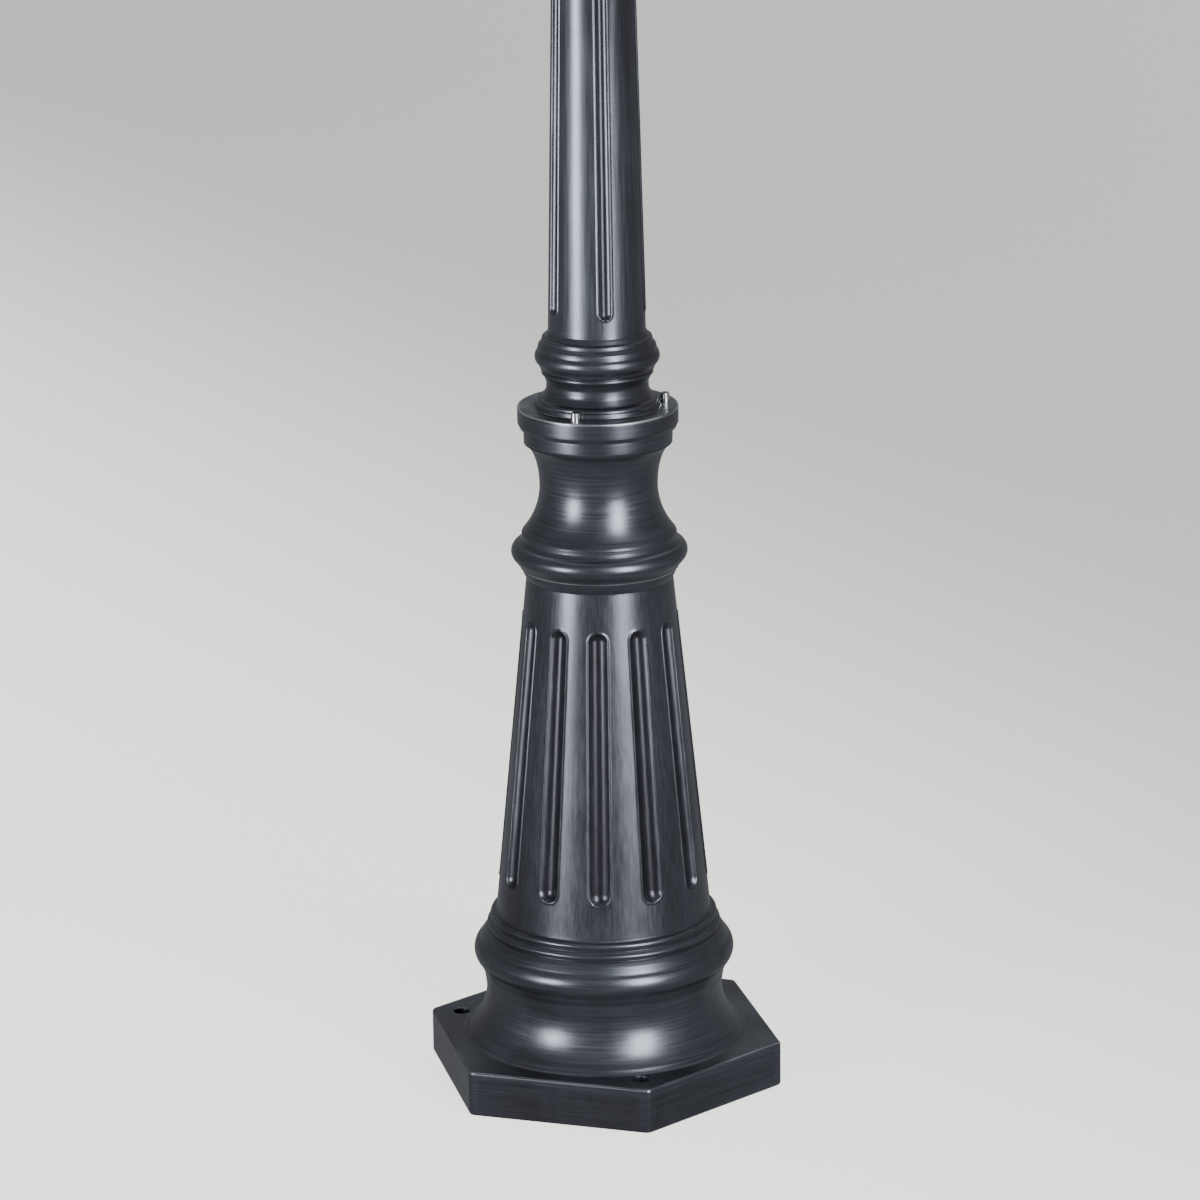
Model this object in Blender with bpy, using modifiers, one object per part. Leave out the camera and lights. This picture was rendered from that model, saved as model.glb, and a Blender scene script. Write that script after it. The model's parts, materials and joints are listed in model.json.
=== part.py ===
"""Post clock: a fluted post in two castings on a hexagonal foot, with a drum clock that shows two faces.

World units are metres, +Z up. Sizes below are in millimetres and are turned into metres by MM.
The origin is the centre of the foot's underside. The front dial looks along -Y.
"""

import math

import bmesh
import bpy
from mathutils import Matrix, Vector

MM = 0.001
GAP = 0.3  # between pieces that touch

# Foot plate
FOOT_CORNER_R = 160.0
FOOT_HEIGHT = 40.0
FOOT_WALL = 9.0
FOOT_TOP_WALL = 10.0
FOOT_CORNER_ROUND = 5.0
FOOT_EDGE_ROUND = 2.5
ANCHOR_HOLE_R = 7.0
ANCHOR_BOSS_R = 15.0
ANCHOR_CIRCLE_R = 132.0
ANCHOR_ANGLES = (-60.0, 60.0, 180.0)

# Lower casting
BASE_TOP_Z = 583.0
BASE_SHAFT_Z = (152.0, 456.0)
BASE_SHAFT_R = (93.1, 62.4)
BASE_SHAFT_HOLLOW = 0.5
BASE_FLUTES = 12
BASE_FLUTE_Z = (183.0, 417.0)
BASE_FLUTE_WIDTH = (19.0, 17.0)
BASE_FLUTE_DEPTH = 5.0
BASE_BORE_R = 44.0

# Upper casting
FLANGE_R = 68.5
FLANGE_TOP_Z = 601.3
SPIGOT_R = 43.4
SPIGOT_Z = 562.0
SHAFT_FOOT_Z = 668.0
SHAFT_FOOT_R = 41.4
SHAFT_TAPER = 0.0222
SHAFT_TOP_Z = 1455.0
TENON_R = 20.5
TENON_TOP_Z = 1520.0
SHAFT_FLUTES = 5
SHAFT_FLUTE_TURN = 9.0  # the first flute's angle about the post
SHAFT_FLUTE_Z = (684.0, 1425.0)
SHAFT_FLUTE_WIDTH = (12.4, 9.0)
SHAFT_FLUTE_DEPTH = 3.2
SHAFT_BORE_R = (37.0, 15.0)

# Studs of the flange joint, M8 x 35
STUDS = 3
STUD_R = 4.0
STUD_CIRCLE_R = 58.2
STUD_TURN = -2.0
STUD_Z = (573.6, 608.6)

# Socket that carries the clock
SOCKET_BORE_R = TENON_R + GAP
SOCKET_TOP_Z = 1592.0
SOCKET_TOP_R = 46.0
SOCKET_SCREW_Z = 1487.0
SOCKET_SCREW_R = 3.0
CABLE_WAY_R = 9.0

# Drum
DRUM_Z = 1790.0
DRUM_R = 180.0
DRUM_BEAD_R = 183.0
DRUM_HALF = 60.0
DRUM_WALL = 4.0
DRUM_LIP_R = 160.0
PAD_TOP_Z = 1620.0
DRUM_BOLT_X = 30.0
DRUM_BOLT_R = 4.0
FINIAL_SEAT_Z = 1975.0
FINIAL_STUD_R = 5.0

# One face of the clock. D is the distance outwards from the drum's end face.
BEZEL_R = 188.0
SIGHT_R = 156.0
GLASS_R = 162.5
GLASS_D = (12.2, 16.2)
RETAINER_D = (8.2, 11.9)
DIAL_R = 166.0
DIAL_D = (0.3, 2.3)
DIAL_SCREW_CIRCLE_R = 162.5
DIAL_SCREW_ANGLES = (41.0, 161.0, 281.0)
BUSH_R = 7.0
PIPE_R = 5.0
ARBOR_R = 3.0
HOUR_D = (5.2, 6.4)
MINUTE_D = (7.8, 8.8)
HAND_NUT_D = (9.1, 11.6)
HOUR_HAND = (92.0, 9.0, 24.0, 12.0)  # length, width, tail and hub radius
MINUTE_HAND = (134.0, 7.0, 36.0, 10.0)
HOUR_ANGLE = 305.0  # ten past ten, clockwise from twelve
MINUTE_ANGLE = 60.0
MOVEMENT_SIZE = 58.0
MOVEMENT_D = (-24.0, -0.3)

# Hinge and latch of a bezel
HINGE_X = -194.0
HINGE_D = 3.0
KNUCKLE_R = 5.0
PIN_R = 2.5
KNUCKLE_SPLIT = 11.5
KNUCKLE_END = 26.0
LATCH_X = 196.0
LATCH_R = 5.0
LATCH_CAM_LENGTH = 11.5
LATCH_CAM_HALF = 4.5
LATCH_CAM_D = (-8.0, -5.0)

FINE = 32
MEDIUM = 20
COARSE = 10


# ---------------------------------------------------------------- scene and materials


def clear_scene():
    for obj in list(bpy.data.objects):
        bpy.data.objects.remove(obj)


def new_collection(name):
    collection = bpy.data.collections.new(name)
    bpy.context.scene.collection.children.link(collection)
    return collection


def new_material(name, colour, roughness, metallic):
    material = bpy.data.materials.new(name)
    material.use_nodes = True
    shader = material.node_tree.nodes["Principled BSDF"]
    shader.inputs["Base Color"].default_value = (*colour, 1.0)
    shader.inputs["Roughness"].default_value = roughness
    shader.inputs["Metallic"].default_value = metallic
    return material


def make_materials():
    return {
        "iron_patina": new_material("iron_patina", (0.055, 0.058, 0.065), 0.38, 0.85),
        "head_patina": new_material("head_patina", (0.06, 0.063, 0.07), 0.36, 0.85),
        "steel": new_material("steel", (0.75, 0.76, 0.78), 0.2, 1.0),
        "glass": new_material("glass", (0.85, 0.9, 0.9), 0.05, 0.0),
        "dial": new_material("dial", (0.86, 0.83, 0.74), 0.45, 0.0),
        "hands": new_material("hands", (0.02, 0.02, 0.022), 0.4, 0.3),
        "brass": new_material("brass", (0.78, 0.58, 0.28), 0.3, 1.0),
        "plastic": new_material("plastic", (0.09, 0.09, 0.1), 0.55, 0.0),
        "gasket": new_material("gasket", (0.03, 0.03, 0.03), 0.8, 0.0),
    }


# ---------------------------------------------------------------- outlines


def smooth(points, steps=4):
    """A Catmull-Rom curve through the points, with this many steps in each span."""
    ends = [points[0], *points, points[-1]]
    found = []
    for i in range(1, len(ends) - 2):
        p0, p1, p2, p3 = (Vector(p) for p in ends[i - 1 : i + 3])
        for step in range(steps):
            t = step / steps
            found.append(
                tuple(
                    0.5
                    * (
                        2 * p1
                        + (p2 - p0) * t
                        + (2 * p0 - 5 * p1 + 4 * p2 - p3) * t**2
                        + (3 * p1 - p0 - 3 * p2 + p3) * t**3
                    )
                )
            )
    found.append(tuple(points[-1]))
    return found


def arc(centre, radii, start, end, steps):
    """Points on an ellipse's arc, from one angle to the other, in degrees."""
    found = []
    for i in range(steps + 1):
        angle = math.radians(start + (end - start) * i / steps)
        found.append((centre[0] + radii[0] * math.cos(angle), centre[1] + radii[1] * math.sin(angle)))
    return found


def base_shaft_radius(z):
    """The lower shaft's radius: a taper, very slightly hollow at its middle."""
    t = (z - BASE_SHAFT_Z[0]) / (BASE_SHAFT_Z[1] - BASE_SHAFT_Z[0])
    straight = BASE_SHAFT_R[0] + (BASE_SHAFT_R[1] - BASE_SHAFT_R[0]) * t
    return straight - 4 * BASE_SHAFT_HOLLOW * t * (1 - t)


def base_outline():
    """The lower casting's outer side, from its seat down to the foot plate."""
    outline = [(BASE_BORE_R, BASE_TOP_Z), (62.5, BASE_TOP_Z), (63.3, 582.2), (63.3, 572.5)]
    outline += arc((67.0, 533.0), (16.5, 38.0), 105.0, 180.0, 5)
    outline += arc((113.4, 533.0), (63.0, 63.0), 180.0, 221.0, 4)[1:]
    outline += [(66.4, 490.8), (66.5, 487.4), (67.2, 485.2)]
    outline += arc((66.2, 474.0), (9.3, 8.8), 80.0, -40.0, 6)
    outline += [(69.6, 464.0), (67.6, 461.6), (66.6, 459.6), (64.2, 456.4)]
    shaft_steps = 4
    for i in range(shaft_steps + 1):
        z = BASE_SHAFT_Z[1] + (BASE_SHAFT_Z[0] - BASE_SHAFT_Z[1]) * i / shaft_steps
        outline.append((base_shaft_radius(z), z))
    outline += [(93.9, 148.8), (94.6, 147.2), (96.0, 146.6)]
    outline += arc((96.0, 143.4), (3.2, 3.2), 60.0, -50.0, 2)
    outline += [(99.0, 138.2), (100.6, 136.8)]
    outline += smooth([(102.0, 134.2), (109.4, 123.0), (113.1, 115.0)], 2)
    outline += smooth([(113.1, 115.0), (111.0, 107.0), (105.4, 95.4), (102.9, 84.0)], 2)[1:]
    outline += arc((152.8, 81.0), (50.0, 50.0), 180.0, 223.0, 4)
    outline += [(117.0, 45.4), (118.6, 44.4), (119.4, 42.4), (119.4, FOOT_HEIGHT - 4.0)]
    return outline


def base_cavity():
    """The inside of the lower casting, from above its seat to below the foot."""
    return [
        (0.0, BASE_TOP_Z + 5.0),
        (BASE_BORE_R, BASE_TOP_Z + 5.0),
        (BASE_BORE_R, 520.0),
        (55.0, 480.0),
        (55.0, 450.0),
        (82.0, 165.0),
        (92.0, 140.0),
        (95.0, 110.0),
        (95.0, -5.0),
        (0.0, -5.0),
    ]


def shaft_radius(z):
    return SHAFT_FOOT_R - SHAFT_TAPER * (z - SHAFT_FOOT_Z)


def shaft_outline():
    """The upper casting as a closed loop: down its outer side, up its bore."""
    outline = [(TENON_R - 1.0, TENON_TOP_Z), (TENON_R, TENON_TOP_Z - 1.5), (TENON_R, SHAFT_TOP_Z)]
    outline.append((shaft_radius(SHAFT_TOP_Z), SHAFT_TOP_Z))
    outline += [(shaft_radius(z), z) for z in (1180.0, 920.0, SHAFT_FOOT_Z)]
    outline += [(42.0, 664.6), (43.6, 662.0), (45.7, 660.6), (46.3, 658.4), (46.6, 656.2), (48.4, 654.4)]
    outline += arc((44.8, 644.6), (8.4, 8.6), 62.0, -50.0, 6)
    outline += [(48.9, 634.2), (48.0, 630.8), (47.6, 628.4), (46.4, 626.6)]
    outline += smooth([(44.9, 624.6), (43.5, 617.5), (46.0, 608.6), (51.6, 603.4)], 2)
    outline += [(53.3, 602.9), (53.7, FLANGE_TOP_Z), (FLANGE_R - 2.0, FLANGE_TOP_Z)]
    outline += [(FLANGE_R, FLANGE_TOP_Z - 2.0), (FLANGE_R, 587.0), (FLANGE_R - 0.9, 585.2)]
    outline.append((FLANGE_R - 3.0, BASE_TOP_Z + GAP))
    outline += [(SPIGOT_R, BASE_TOP_Z + GAP), (SPIGOT_R, SPIGOT_Z)]
    outline += [(SHAFT_BORE_R[0], SPIGOT_Z), (SHAFT_BORE_R[0], 640.0), (SHAFT_BORE_R[1], SHAFT_TOP_Z - 20.0)]
    outline += [(SHAFT_BORE_R[1], TENON_TOP_Z)]
    return outline


def socket_outline():
    """The clock's socket as a closed loop: down its outer side, up its bores."""
    outline = [(SOCKET_TOP_R, SOCKET_TOP_Z), (SOCKET_TOP_R, 1585.0)]
    outline += smooth([(44.4, 1582.0), (35.0, 1572.5), (27.5, 1558.0), (25.5, 1546.0), (26.6, 1537.0)], 2)
    outline += [(30.0, 1534.0), (30.6, 1530.0)]
    outline += arc((30.0, 1519.0), (10.5, 10.5), 75.0, -75.0, 5)
    outline += [(31.5, 1505.5), (31.5, 1476.0), (33.0, 1474.0)]
    outline += arc((31.0, 1466.5), (6.0, 6.0), 60.0, -60.0, 4)
    outline += [(31.4, 1459.0), (30.0, SHAFT_TOP_Z + GAP)]
    outline += [(SOCKET_BORE_R, SHAFT_TOP_Z + GAP), (SOCKET_BORE_R, TENON_TOP_Z + 1.0)]
    outline += [(CABLE_WAY_R, TENON_TOP_Z + 1.0), (CABLE_WAY_R, SOCKET_TOP_Z)]
    return outline


def finial_outline():
    """The finial's outer side, tip to seat, and its stud."""
    outline = [(0.0, 2104.0), (1.6, 2102.0)]
    outline += smooth([(2.6, 2094.0), (4.4, 2078.0), (8.4, 2066.0)], 2)
    outline += [(10.4, 2064.6), (10.4, 2061.4)]
    outline += arc((0.0, 2040.0), (21.0, 21.0), 62.0, -62.0, 6)
    outline += [(11.0, 2019.6), (13.6, 2018.0), (13.6, 2014.6), (10.0, 2012.6)]
    outline += smooth([(8.6, 2004.0), (11.4, 1994.0), (18.6, 1987.6)], 2)
    outline += [(22.0, 1986.6), (23.4, 1984.0), (22.0, 1981.4), (20.6, 1980.6), (20.6, FINIAL_SEAT_Z + GAP)]
    stud_low = FINIAL_SEAT_Z - 9.0
    outline += [(FINIAL_STUD_R, FINIAL_SEAT_Z + GAP), (FINIAL_STUD_R, stud_low), (0.0, stud_low)]
    return outline


def drum_outline():
    """The drum's section, with x as the radius and y along the drum's axis, as a closed loop."""
    half, bead, wall = DRUM_HALF, 7.0, DRUM_WALL
    return [
        (DRUM_LIP_R, half),
        (DRUM_BEAD_R, half),
        (DRUM_BEAD_R, half - bead),
        (DRUM_R, half - bead - 2.0),
        (DRUM_R, -half + bead + 2.0),
        (DRUM_BEAD_R, -half + bead),
        (DRUM_BEAD_R, -half),
        (DRUM_LIP_R, -half),
        (DRUM_LIP_R, -half + wall),
        (DRUM_R - wall, -half + wall),
        (DRUM_R - wall, half - wall),
        (DRUM_LIP_R, half - wall),
    ]


def bezel_outline():
    """The bezel's section: x is the radius, y the distance outwards. It runs down the outer side."""
    outline = [(SIGHT_R, 20.0), (SIGHT_R + 1.0, 21.0)]
    outline += arc((163.0, 18.5), (5.4, 5.4), 140.0, 30.0, 3)
    outline += [(169.0, 18.6)]
    outline += arc((169.0, 4.0), (16.6, 14.0), 80.0, 12.0, 4)
    outline += [(186.4, 6.6), (BEZEL_R, 5.6), (BEZEL_R, 2.0), (BEZEL_R - 1.0, 0.6)]
    outline += [(DIAL_R + 2.0, 0.6), (DIAL_R + 2.0, 5.0), (GLASS_R + 0.5, 5.0)]
    outline += [(GLASS_R + 0.5, 16.5), (SIGHT_R, 16.5)]
    return outline


# ---------------------------------------------------------------- mesh tools


class Shop:
    """Holds the collections and materials, and turns meshes into named objects."""

    def __init__(self):
        self.parts = new_collection("street_clock")
        self.cutters = new_collection("cutters")
        self.materials = make_materials()

    def finish(self, name, mesh, slot, angle=40.0):
        """Links a finished mesh as one of the object's pieces."""
        mesh.name = name
        mesh.materials.clear()
        mesh.materials.append(self.materials[slot])
        mesh.shade_smooth()
        mesh.set_sharp_from_angle(angle=math.radians(angle))
        obj = bpy.data.objects.new(name, mesh)
        self.parts.objects.link(obj)
        return obj

    def helper(self, mesh):
        obj = bpy.data.objects.new("helper", mesh)
        obj.hide_render = True
        obj.display_type = "WIRE"
        self.cutters.objects.link(obj)
        return obj

    def evaluated(self, obj):
        """The object's mesh with its modifiers applied. The object is removed."""
        bpy.context.view_layer.update()
        graph = bpy.context.evaluated_depsgraph_get()
        mesh = bpy.data.meshes.new_from_object(obj.evaluated_get(graph), depsgraph=graph)
        bpy.data.objects.remove(obj)
        return mesh

    def combine(self, mesh, others, operation):
        """The mesh after a Boolean with each of the other meshes in turn."""
        for other in others:
            base, tool = self.helper(mesh), self.helper(other)
            modifier = base.modifiers.new("cut", "BOOLEAN")
            modifier.operation = operation
            modifier.solver = "EXACT"
            modifier.object = tool
            mesh = self.evaluated(base)
            bpy.data.objects.remove(tool)
        return mesh

    def cut(self, mesh, *tools):
        return self.combine(mesh, tools, "DIFFERENCE")

    def join(self, mesh, *others):
        return self.combine(mesh, others, "UNION")

    def turned(self, outline, segments, closed=False):
        """A solid turned about Z from an outline of (radius, height) that runs down its outer side."""
        mesh = bpy.data.meshes.new("outline")
        points = [(r * MM, 0.0, z * MM) for r, z in outline]
        edges = [(i, i + 1) for i in range(len(points) - 1)]
        if closed:
            edges.append((len(points) - 1, 0))
        mesh.from_pydata(points, edges, [])
        obj = self.helper(mesh)
        screw = obj.modifiers.new("turn", "SCREW")
        screw.axis = "Z"
        screw.steps = segments
        screw.render_steps = segments
        screw.use_merge_vertices = True
        screw.merge_threshold = 0.00001
        mesh = self.evaluated(obj)
        if shell_volume(mesh) < 0:
            mesh.flip_normals()
        return mesh


def shell_volume(mesh):
    solid = bmesh.new()
    solid.from_mesh(mesh)
    volume = solid.calc_volume(signed=True)
    solid.free()
    return volume


def mesh_of(solid):
    mesh = bpy.data.meshes.new("solid")
    bmesh.ops.recalc_face_normals(solid, faces=solid.faces)
    solid.to_mesh(mesh)
    solid.free()
    return mesh


def moved(mesh, matrix):
    mesh.transform(matrix)
    return mesh


def copy_of(mesh, matrix):
    return moved(mesh.copy(), matrix)


def shift(x=0.0, y=0.0, z=0.0):
    return Matrix.Translation(Vector((x, y, z)) * MM)


def turn(degrees, axis="Z"):
    return Matrix.Rotation(math.radians(degrees), 4, axis)


def cylinder(radius, low, high, segments=COARSE, x=0.0, y=0.0, angle=0.0):
    """A cylinder or, with few segments, a prism, along Z."""
    solid = bmesh.new()
    bmesh.ops.create_cone(
        solid,
        cap_ends=True,
        segments=segments,
        radius1=radius * MM,
        radius2=radius * MM,
        depth=(high - low) * MM,
        matrix=shift(x, y, (low + high) / 2) @ turn(angle),
    )
    return mesh_of(solid)


def round_edges(solid, edges, offset, segments):
    bmesh.ops.bevel(
        solid,
        geom=edges,
        offset=offset * MM,
        offset_type="OFFSET",
        segments=segments,
        profile=0.5,
        affect="EDGES",
    )


def box(low, high, edge_round=0.0):
    """A box between two corners, with its edges rounded if asked."""
    solid = bmesh.new()
    size = [(b - a) * MM for a, b in zip(low, high)]
    centre = [(a + b) / 2 for a, b in zip(low, high)]
    bmesh.ops.create_cube(solid, size=1.0, matrix=shift(*centre) @ Matrix.Diagonal((*size, 1.0)))
    if edge_round:
        round_edges(solid, solid.edges[:], edge_round, 2)
    return mesh_of(solid)


def flute_cutter(shop, foot, head, radii, segments):
    """A round-ended, slightly tapered bar between two (radius, height) points, standing at +X."""
    foot, head = Vector((foot[0], 0.0, foot[1])), Vector((head[0], 0.0, head[1]))
    length = (head - foot).length
    outline = arc((0.0, length - radii[1]), (radii[1], radii[1]), 90.0, 0.0, 4)
    outline += arc((0.0, radii[0]), (radii[0], radii[0]), 0.0, -90.0, 4)
    outline[0] = (0.0, outline[0][1])
    outline[-1] = (0.0, outline[-1][1])
    bar = shop.turned(outline, segments)
    aim = (head - foot).to_track_quat("Z", "X").to_matrix().to_4x4()
    return moved(bar, shift(*foot) @ aim)


def flutes(shop, count, first, heights, widths, depth, radius_at, segments=10):
    """Cutters for a ring of flutes, whose rounded section has these widths at the foot and head."""
    radii = [(w * w / 4 + depth * depth) / (2 * depth) for w in widths]
    sink = [r - depth for r in radii]
    half = [w / 2 for w in widths]
    foot = (radius_at(heights[0]) + sink[0], heights[0] - (radii[0] - half[0]))
    head = (radius_at(heights[1]) + sink[1], heights[1] + (radii[1] - half[1]))
    bar = flute_cutter(shop, foot, head, radii, segments)
    joined = bmesh.new()
    for i in range(count):
        joined.from_mesh(copy_of(bar, turn(first + 360.0 * i / count)))
    return mesh_of(joined)


# ---------------------------------------------------------------- the post


def make_foot_plate():
    """The hexagonal plate, with corners on the X axis and its vertical and upper edges rounded."""
    plate = bmesh.new()
    bmesh.ops.create_cone(
        plate,
        cap_ends=True,
        segments=6,
        radius1=FOOT_CORNER_R * MM,
        radius2=FOOT_CORNER_R * MM,
        depth=FOOT_HEIGHT * MM,
        matrix=shift(0, 0, FOOT_HEIGHT / 2) @ turn(90.0),
    )
    upright = [e for e in plate.edges if abs((e.verts[0].co - e.verts[1].co).z) > 0.5 * FOOT_HEIGHT * MM]
    round_edges(plate, upright, FOOT_CORNER_ROUND, 3)
    rim = [e for e in plate.edges if all(v.co.z > 0.99 * FOOT_HEIGHT * MM for v in e.verts)]
    round_edges(plate, rim, FOOT_EDGE_ROUND, 2)
    return mesh_of(plate)


def foot_places():
    """Where the anchor holes are."""
    for angle in ANCHOR_ANGLES:
        radians = math.radians(angle)
        yield ANCHOR_CIRCLE_R * math.cos(radians), ANCHOR_CIRCLE_R * math.sin(radians)


def make_base_casting(shop):
    """Foot plate, mouldings and fluted lower shaft, cast in one piece and hollow."""
    column = shop.turned(base_outline() + [(0.0, FOOT_HEIGHT - 4.0), (0.0, BASE_TOP_Z)], FINE, closed=True)
    body = shop.join(make_foot_plate(), column)
    pocket_r = FOOT_CORNER_R - FOOT_WALL * 2 / math.sqrt(3)
    pocket = cylinder(pocket_r, -5.0, FOOT_HEIGHT - FOOT_TOP_WALL, 6, angle=90.0)
    bosses = [cylinder(ANCHOR_BOSS_R, -6.0, FOOT_HEIGHT, 20, x, y) for x, y in foot_places()]
    pocket = shop.cut(pocket, *bosses)
    cavity = shop.turned(base_cavity(), MEDIUM)
    grooves = flutes(
        shop, BASE_FLUTES, 15.0, BASE_FLUTE_Z, BASE_FLUTE_WIDTH, BASE_FLUTE_DEPTH, base_shaft_radius
    )
    body = shop.cut(body, grooves, pocket, cavity)
    holes = [cylinder(ANCHOR_HOLE_R, -8.0, FOOT_HEIGHT + 5.0, 20, x, y) for x, y in foot_places()]
    stud_hole = (STUD_R + GAP, STUD_Z[0] - 1.0, BASE_TOP_Z + 5.0, COARSE)
    holes += [cylinder(*stud_hole, x, y) for x, y in stud_places()]
    return shop.finish("base_casting", shop.cut(body, *holes), "iron_patina")


def stud_places():
    """Where the flange joint's studs are, the first one towards the front."""
    for i in range(STUDS):
        radians = math.radians(STUD_TURN - 90.0 + 360.0 * i / STUDS)
        yield STUD_CIRCLE_R * math.cos(radians), STUD_CIRCLE_R * math.sin(radians)


def make_shaft_casting(shop):
    """Flange, mouldings, fluted upper shaft and the tenon at its top."""
    body = shop.turned(shaft_outline(), FINE, closed=True)
    section = (SHAFT_FLUTE_WIDTH, SHAFT_FLUTE_DEPTH)
    grooves = flutes(shop, SHAFT_FLUTES, SHAFT_FLUTE_TURN, SHAFT_FLUTE_Z, *section, shaft_radius)
    stud_hole = (STUD_R + GAP, BASE_TOP_Z - 5.0, FLANGE_TOP_Z + 5.0, COARSE)
    holes = [cylinder(*stud_hole, x, y) for x, y in stud_places()]
    return shop.finish("shaft_casting", shop.cut(body, grooves, *holes), "iron_patina")


def socket_screw(shop, radius, low, high, hex_r, hex_depth):
    """A headless screw along Z, chamfered, with a hexagon socket in its upper end."""
    chamfer = radius * 0.2
    outline = [(0.0, high), (radius - chamfer, high), (radius, high - chamfer), (radius, low + chamfer)]
    outline += [(radius - chamfer, low), (0.0, low)]
    body = shop.turned(outline, COARSE)
    return shop.cut(body, cylinder(hex_r, high - hex_depth, high + 1.0, 6))


def make_studs(shop):
    stud = socket_screw(shop, STUD_R, *STUD_Z, 2.3, 4.5)
    for i, (x, y) in enumerate(stud_places(), 1):
        shop.finish(f"joint_stud_{i}", copy_of(stud, shift(x, y)), "steel")


def make_socket(shop):
    """The turned casting between the shaft's tenon and the drum, and its three clamping screws."""
    body = shop.turned(socket_outline(), MEDIUM, closed=True)
    hole = moved(cylinder(SOCKET_SCREW_R + GAP, 0.0, 45.0), turn(90.0, "Y"))
    screw = socket_screw(shop, SOCKET_SCREW_R, TENON_R + GAP, 33.0, 1.75, 3.5)
    screw = moved(screw, turn(90.0, "Y"))
    places = [shift(z=SOCKET_SCREW_Z) @ turn(90.0 + 120.0 * i) for i in range(3)]
    body = shop.cut(body, *[copy_of(hole, place) for place in places])
    bolt_hole = (DRUM_BOLT_R + GAP, 1576.0, SOCKET_TOP_Z + 5.0, COARSE)
    tapped = [cylinder(*bolt_hole, x) for x in (-DRUM_BOLT_X, DRUM_BOLT_X)]
    shop.finish("head_socket", shop.cut(body, *tapped), "head_patina")
    for i, place in enumerate(places, 1):
        shop.finish(f"socket_screw_{i}", copy_of(screw, place), "steel")


# ---------------------------------------------------------------- the clock head


def face_frame(back):
    """From a face's own frame to the world: x to the right of a person reading it, y outwards, z up."""
    flip = turn(180.0) if back else Matrix.Identity(4)
    return flip @ shift(0, 0, DRUM_Z) @ Matrix.Diagonal((1.0, -1.0, 1.0, 1.0)) @ shift(0, DRUM_HALF, 0)


def placed(mesh, back):
    """A mesh drawn in a face's own frame, put in its place in the world."""
    mesh = mesh.copy()
    mesh.transform(face_frame(back))
    mesh.flip_normals()
    return mesh


def facing(mesh):
    """Turns a mesh that was made about +Z so that it stands about the face's outward direction."""
    return moved(mesh, turn(-90.0, "X"))


def hinge_barrel(low, high):
    return cylinder(KNUCKLE_R, low, high, COARSE, HINGE_X, HINGE_D)


def make_drum(shop):
    """The drum, with its foot pad, the finial's seat, and for each face two hinge knuckles and a strike."""
    body = moved(shop.turned(drum_outline(), FINE, closed=True), turn(90.0, "X"))
    body = moved(body, shift(0, 0, DRUM_Z))
    pad = cylinder(SOCKET_TOP_R, SOCKET_TOP_Z + GAP, PAD_TOP_Z, MEDIUM)
    seat = cylinder(24.0, DRUM_Z + DRUM_R - DRUM_WALL - 8.0, FINIAL_SEAT_Z, MEDIUM)
    extras = [pad, seat]
    for back in (False, True):
        for sign in (-1.0, 1.0):
            low, high = sorted((sign * (KNUCKLE_SPLIT + 0.5), sign * KNUCKLE_END))
            lug = box((HINGE_X, -7.0, low), (-178.5, -0.6, high))
            knuckle = shop.cut(shop.join(hinge_barrel(low, high), lug), hinge_bore())
            extras.append(placed(knuckle, back))
        extras.append(placed(box((174.0, -3.4, -8.0), (190.5, -0.5, 8.0)), back))
    body = shop.join(body, *extras)
    holes = [cylinder(CABLE_WAY_R, SOCKET_TOP_Z - 5.0, PAD_TOP_Z + 5.0, MEDIUM)]
    bolt_hole = (DRUM_BOLT_R + GAP, SOCKET_TOP_Z - 5.0, PAD_TOP_Z + 5.0, COARSE)
    holes += [cylinder(*bolt_hole, x) for x in (-DRUM_BOLT_X, DRUM_BOLT_X)]
    holes.append(cylinder(FINIAL_STUD_R + GAP, FINIAL_SEAT_Z - 10.0, FINIAL_SEAT_Z + 5.0))
    holes.append(cylinder(2.5 + GAP, 1606.0, PAD_TOP_Z + 5.0, COARSE, 0.0, -33.0))
    for back in (False, True):
        for angle in DIAL_SCREW_ANGLES:
            x, z = polar(DIAL_SCREW_CIRCLE_R, angle)
            holes.append(placed(facing(cylinder(1.5 + GAP, -8.0, 3.0, 10, x, -z)), back))
    shop.finish("drum_casing", shop.cut(body, *holes), "head_patina")


def polar(radius, degrees):
    radians = math.radians(degrees)
    return radius * math.cos(radians), radius * math.sin(radians)


def hinge_bore():
    return cylinder(PIN_R + GAP, -KNUCKLE_END - 5.0, KNUCKLE_END + 5.0, COARSE, HINGE_X, HINGE_D)


def hex_bolt(shank_r, low, seat, head_r, head_height):
    """A hexagon-headed bolt along Z: its shank's solid and its head's solid."""
    return cylinder(shank_r, low, seat + 1.0), cylinder(head_r, seat, seat + head_height, 6)


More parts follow.
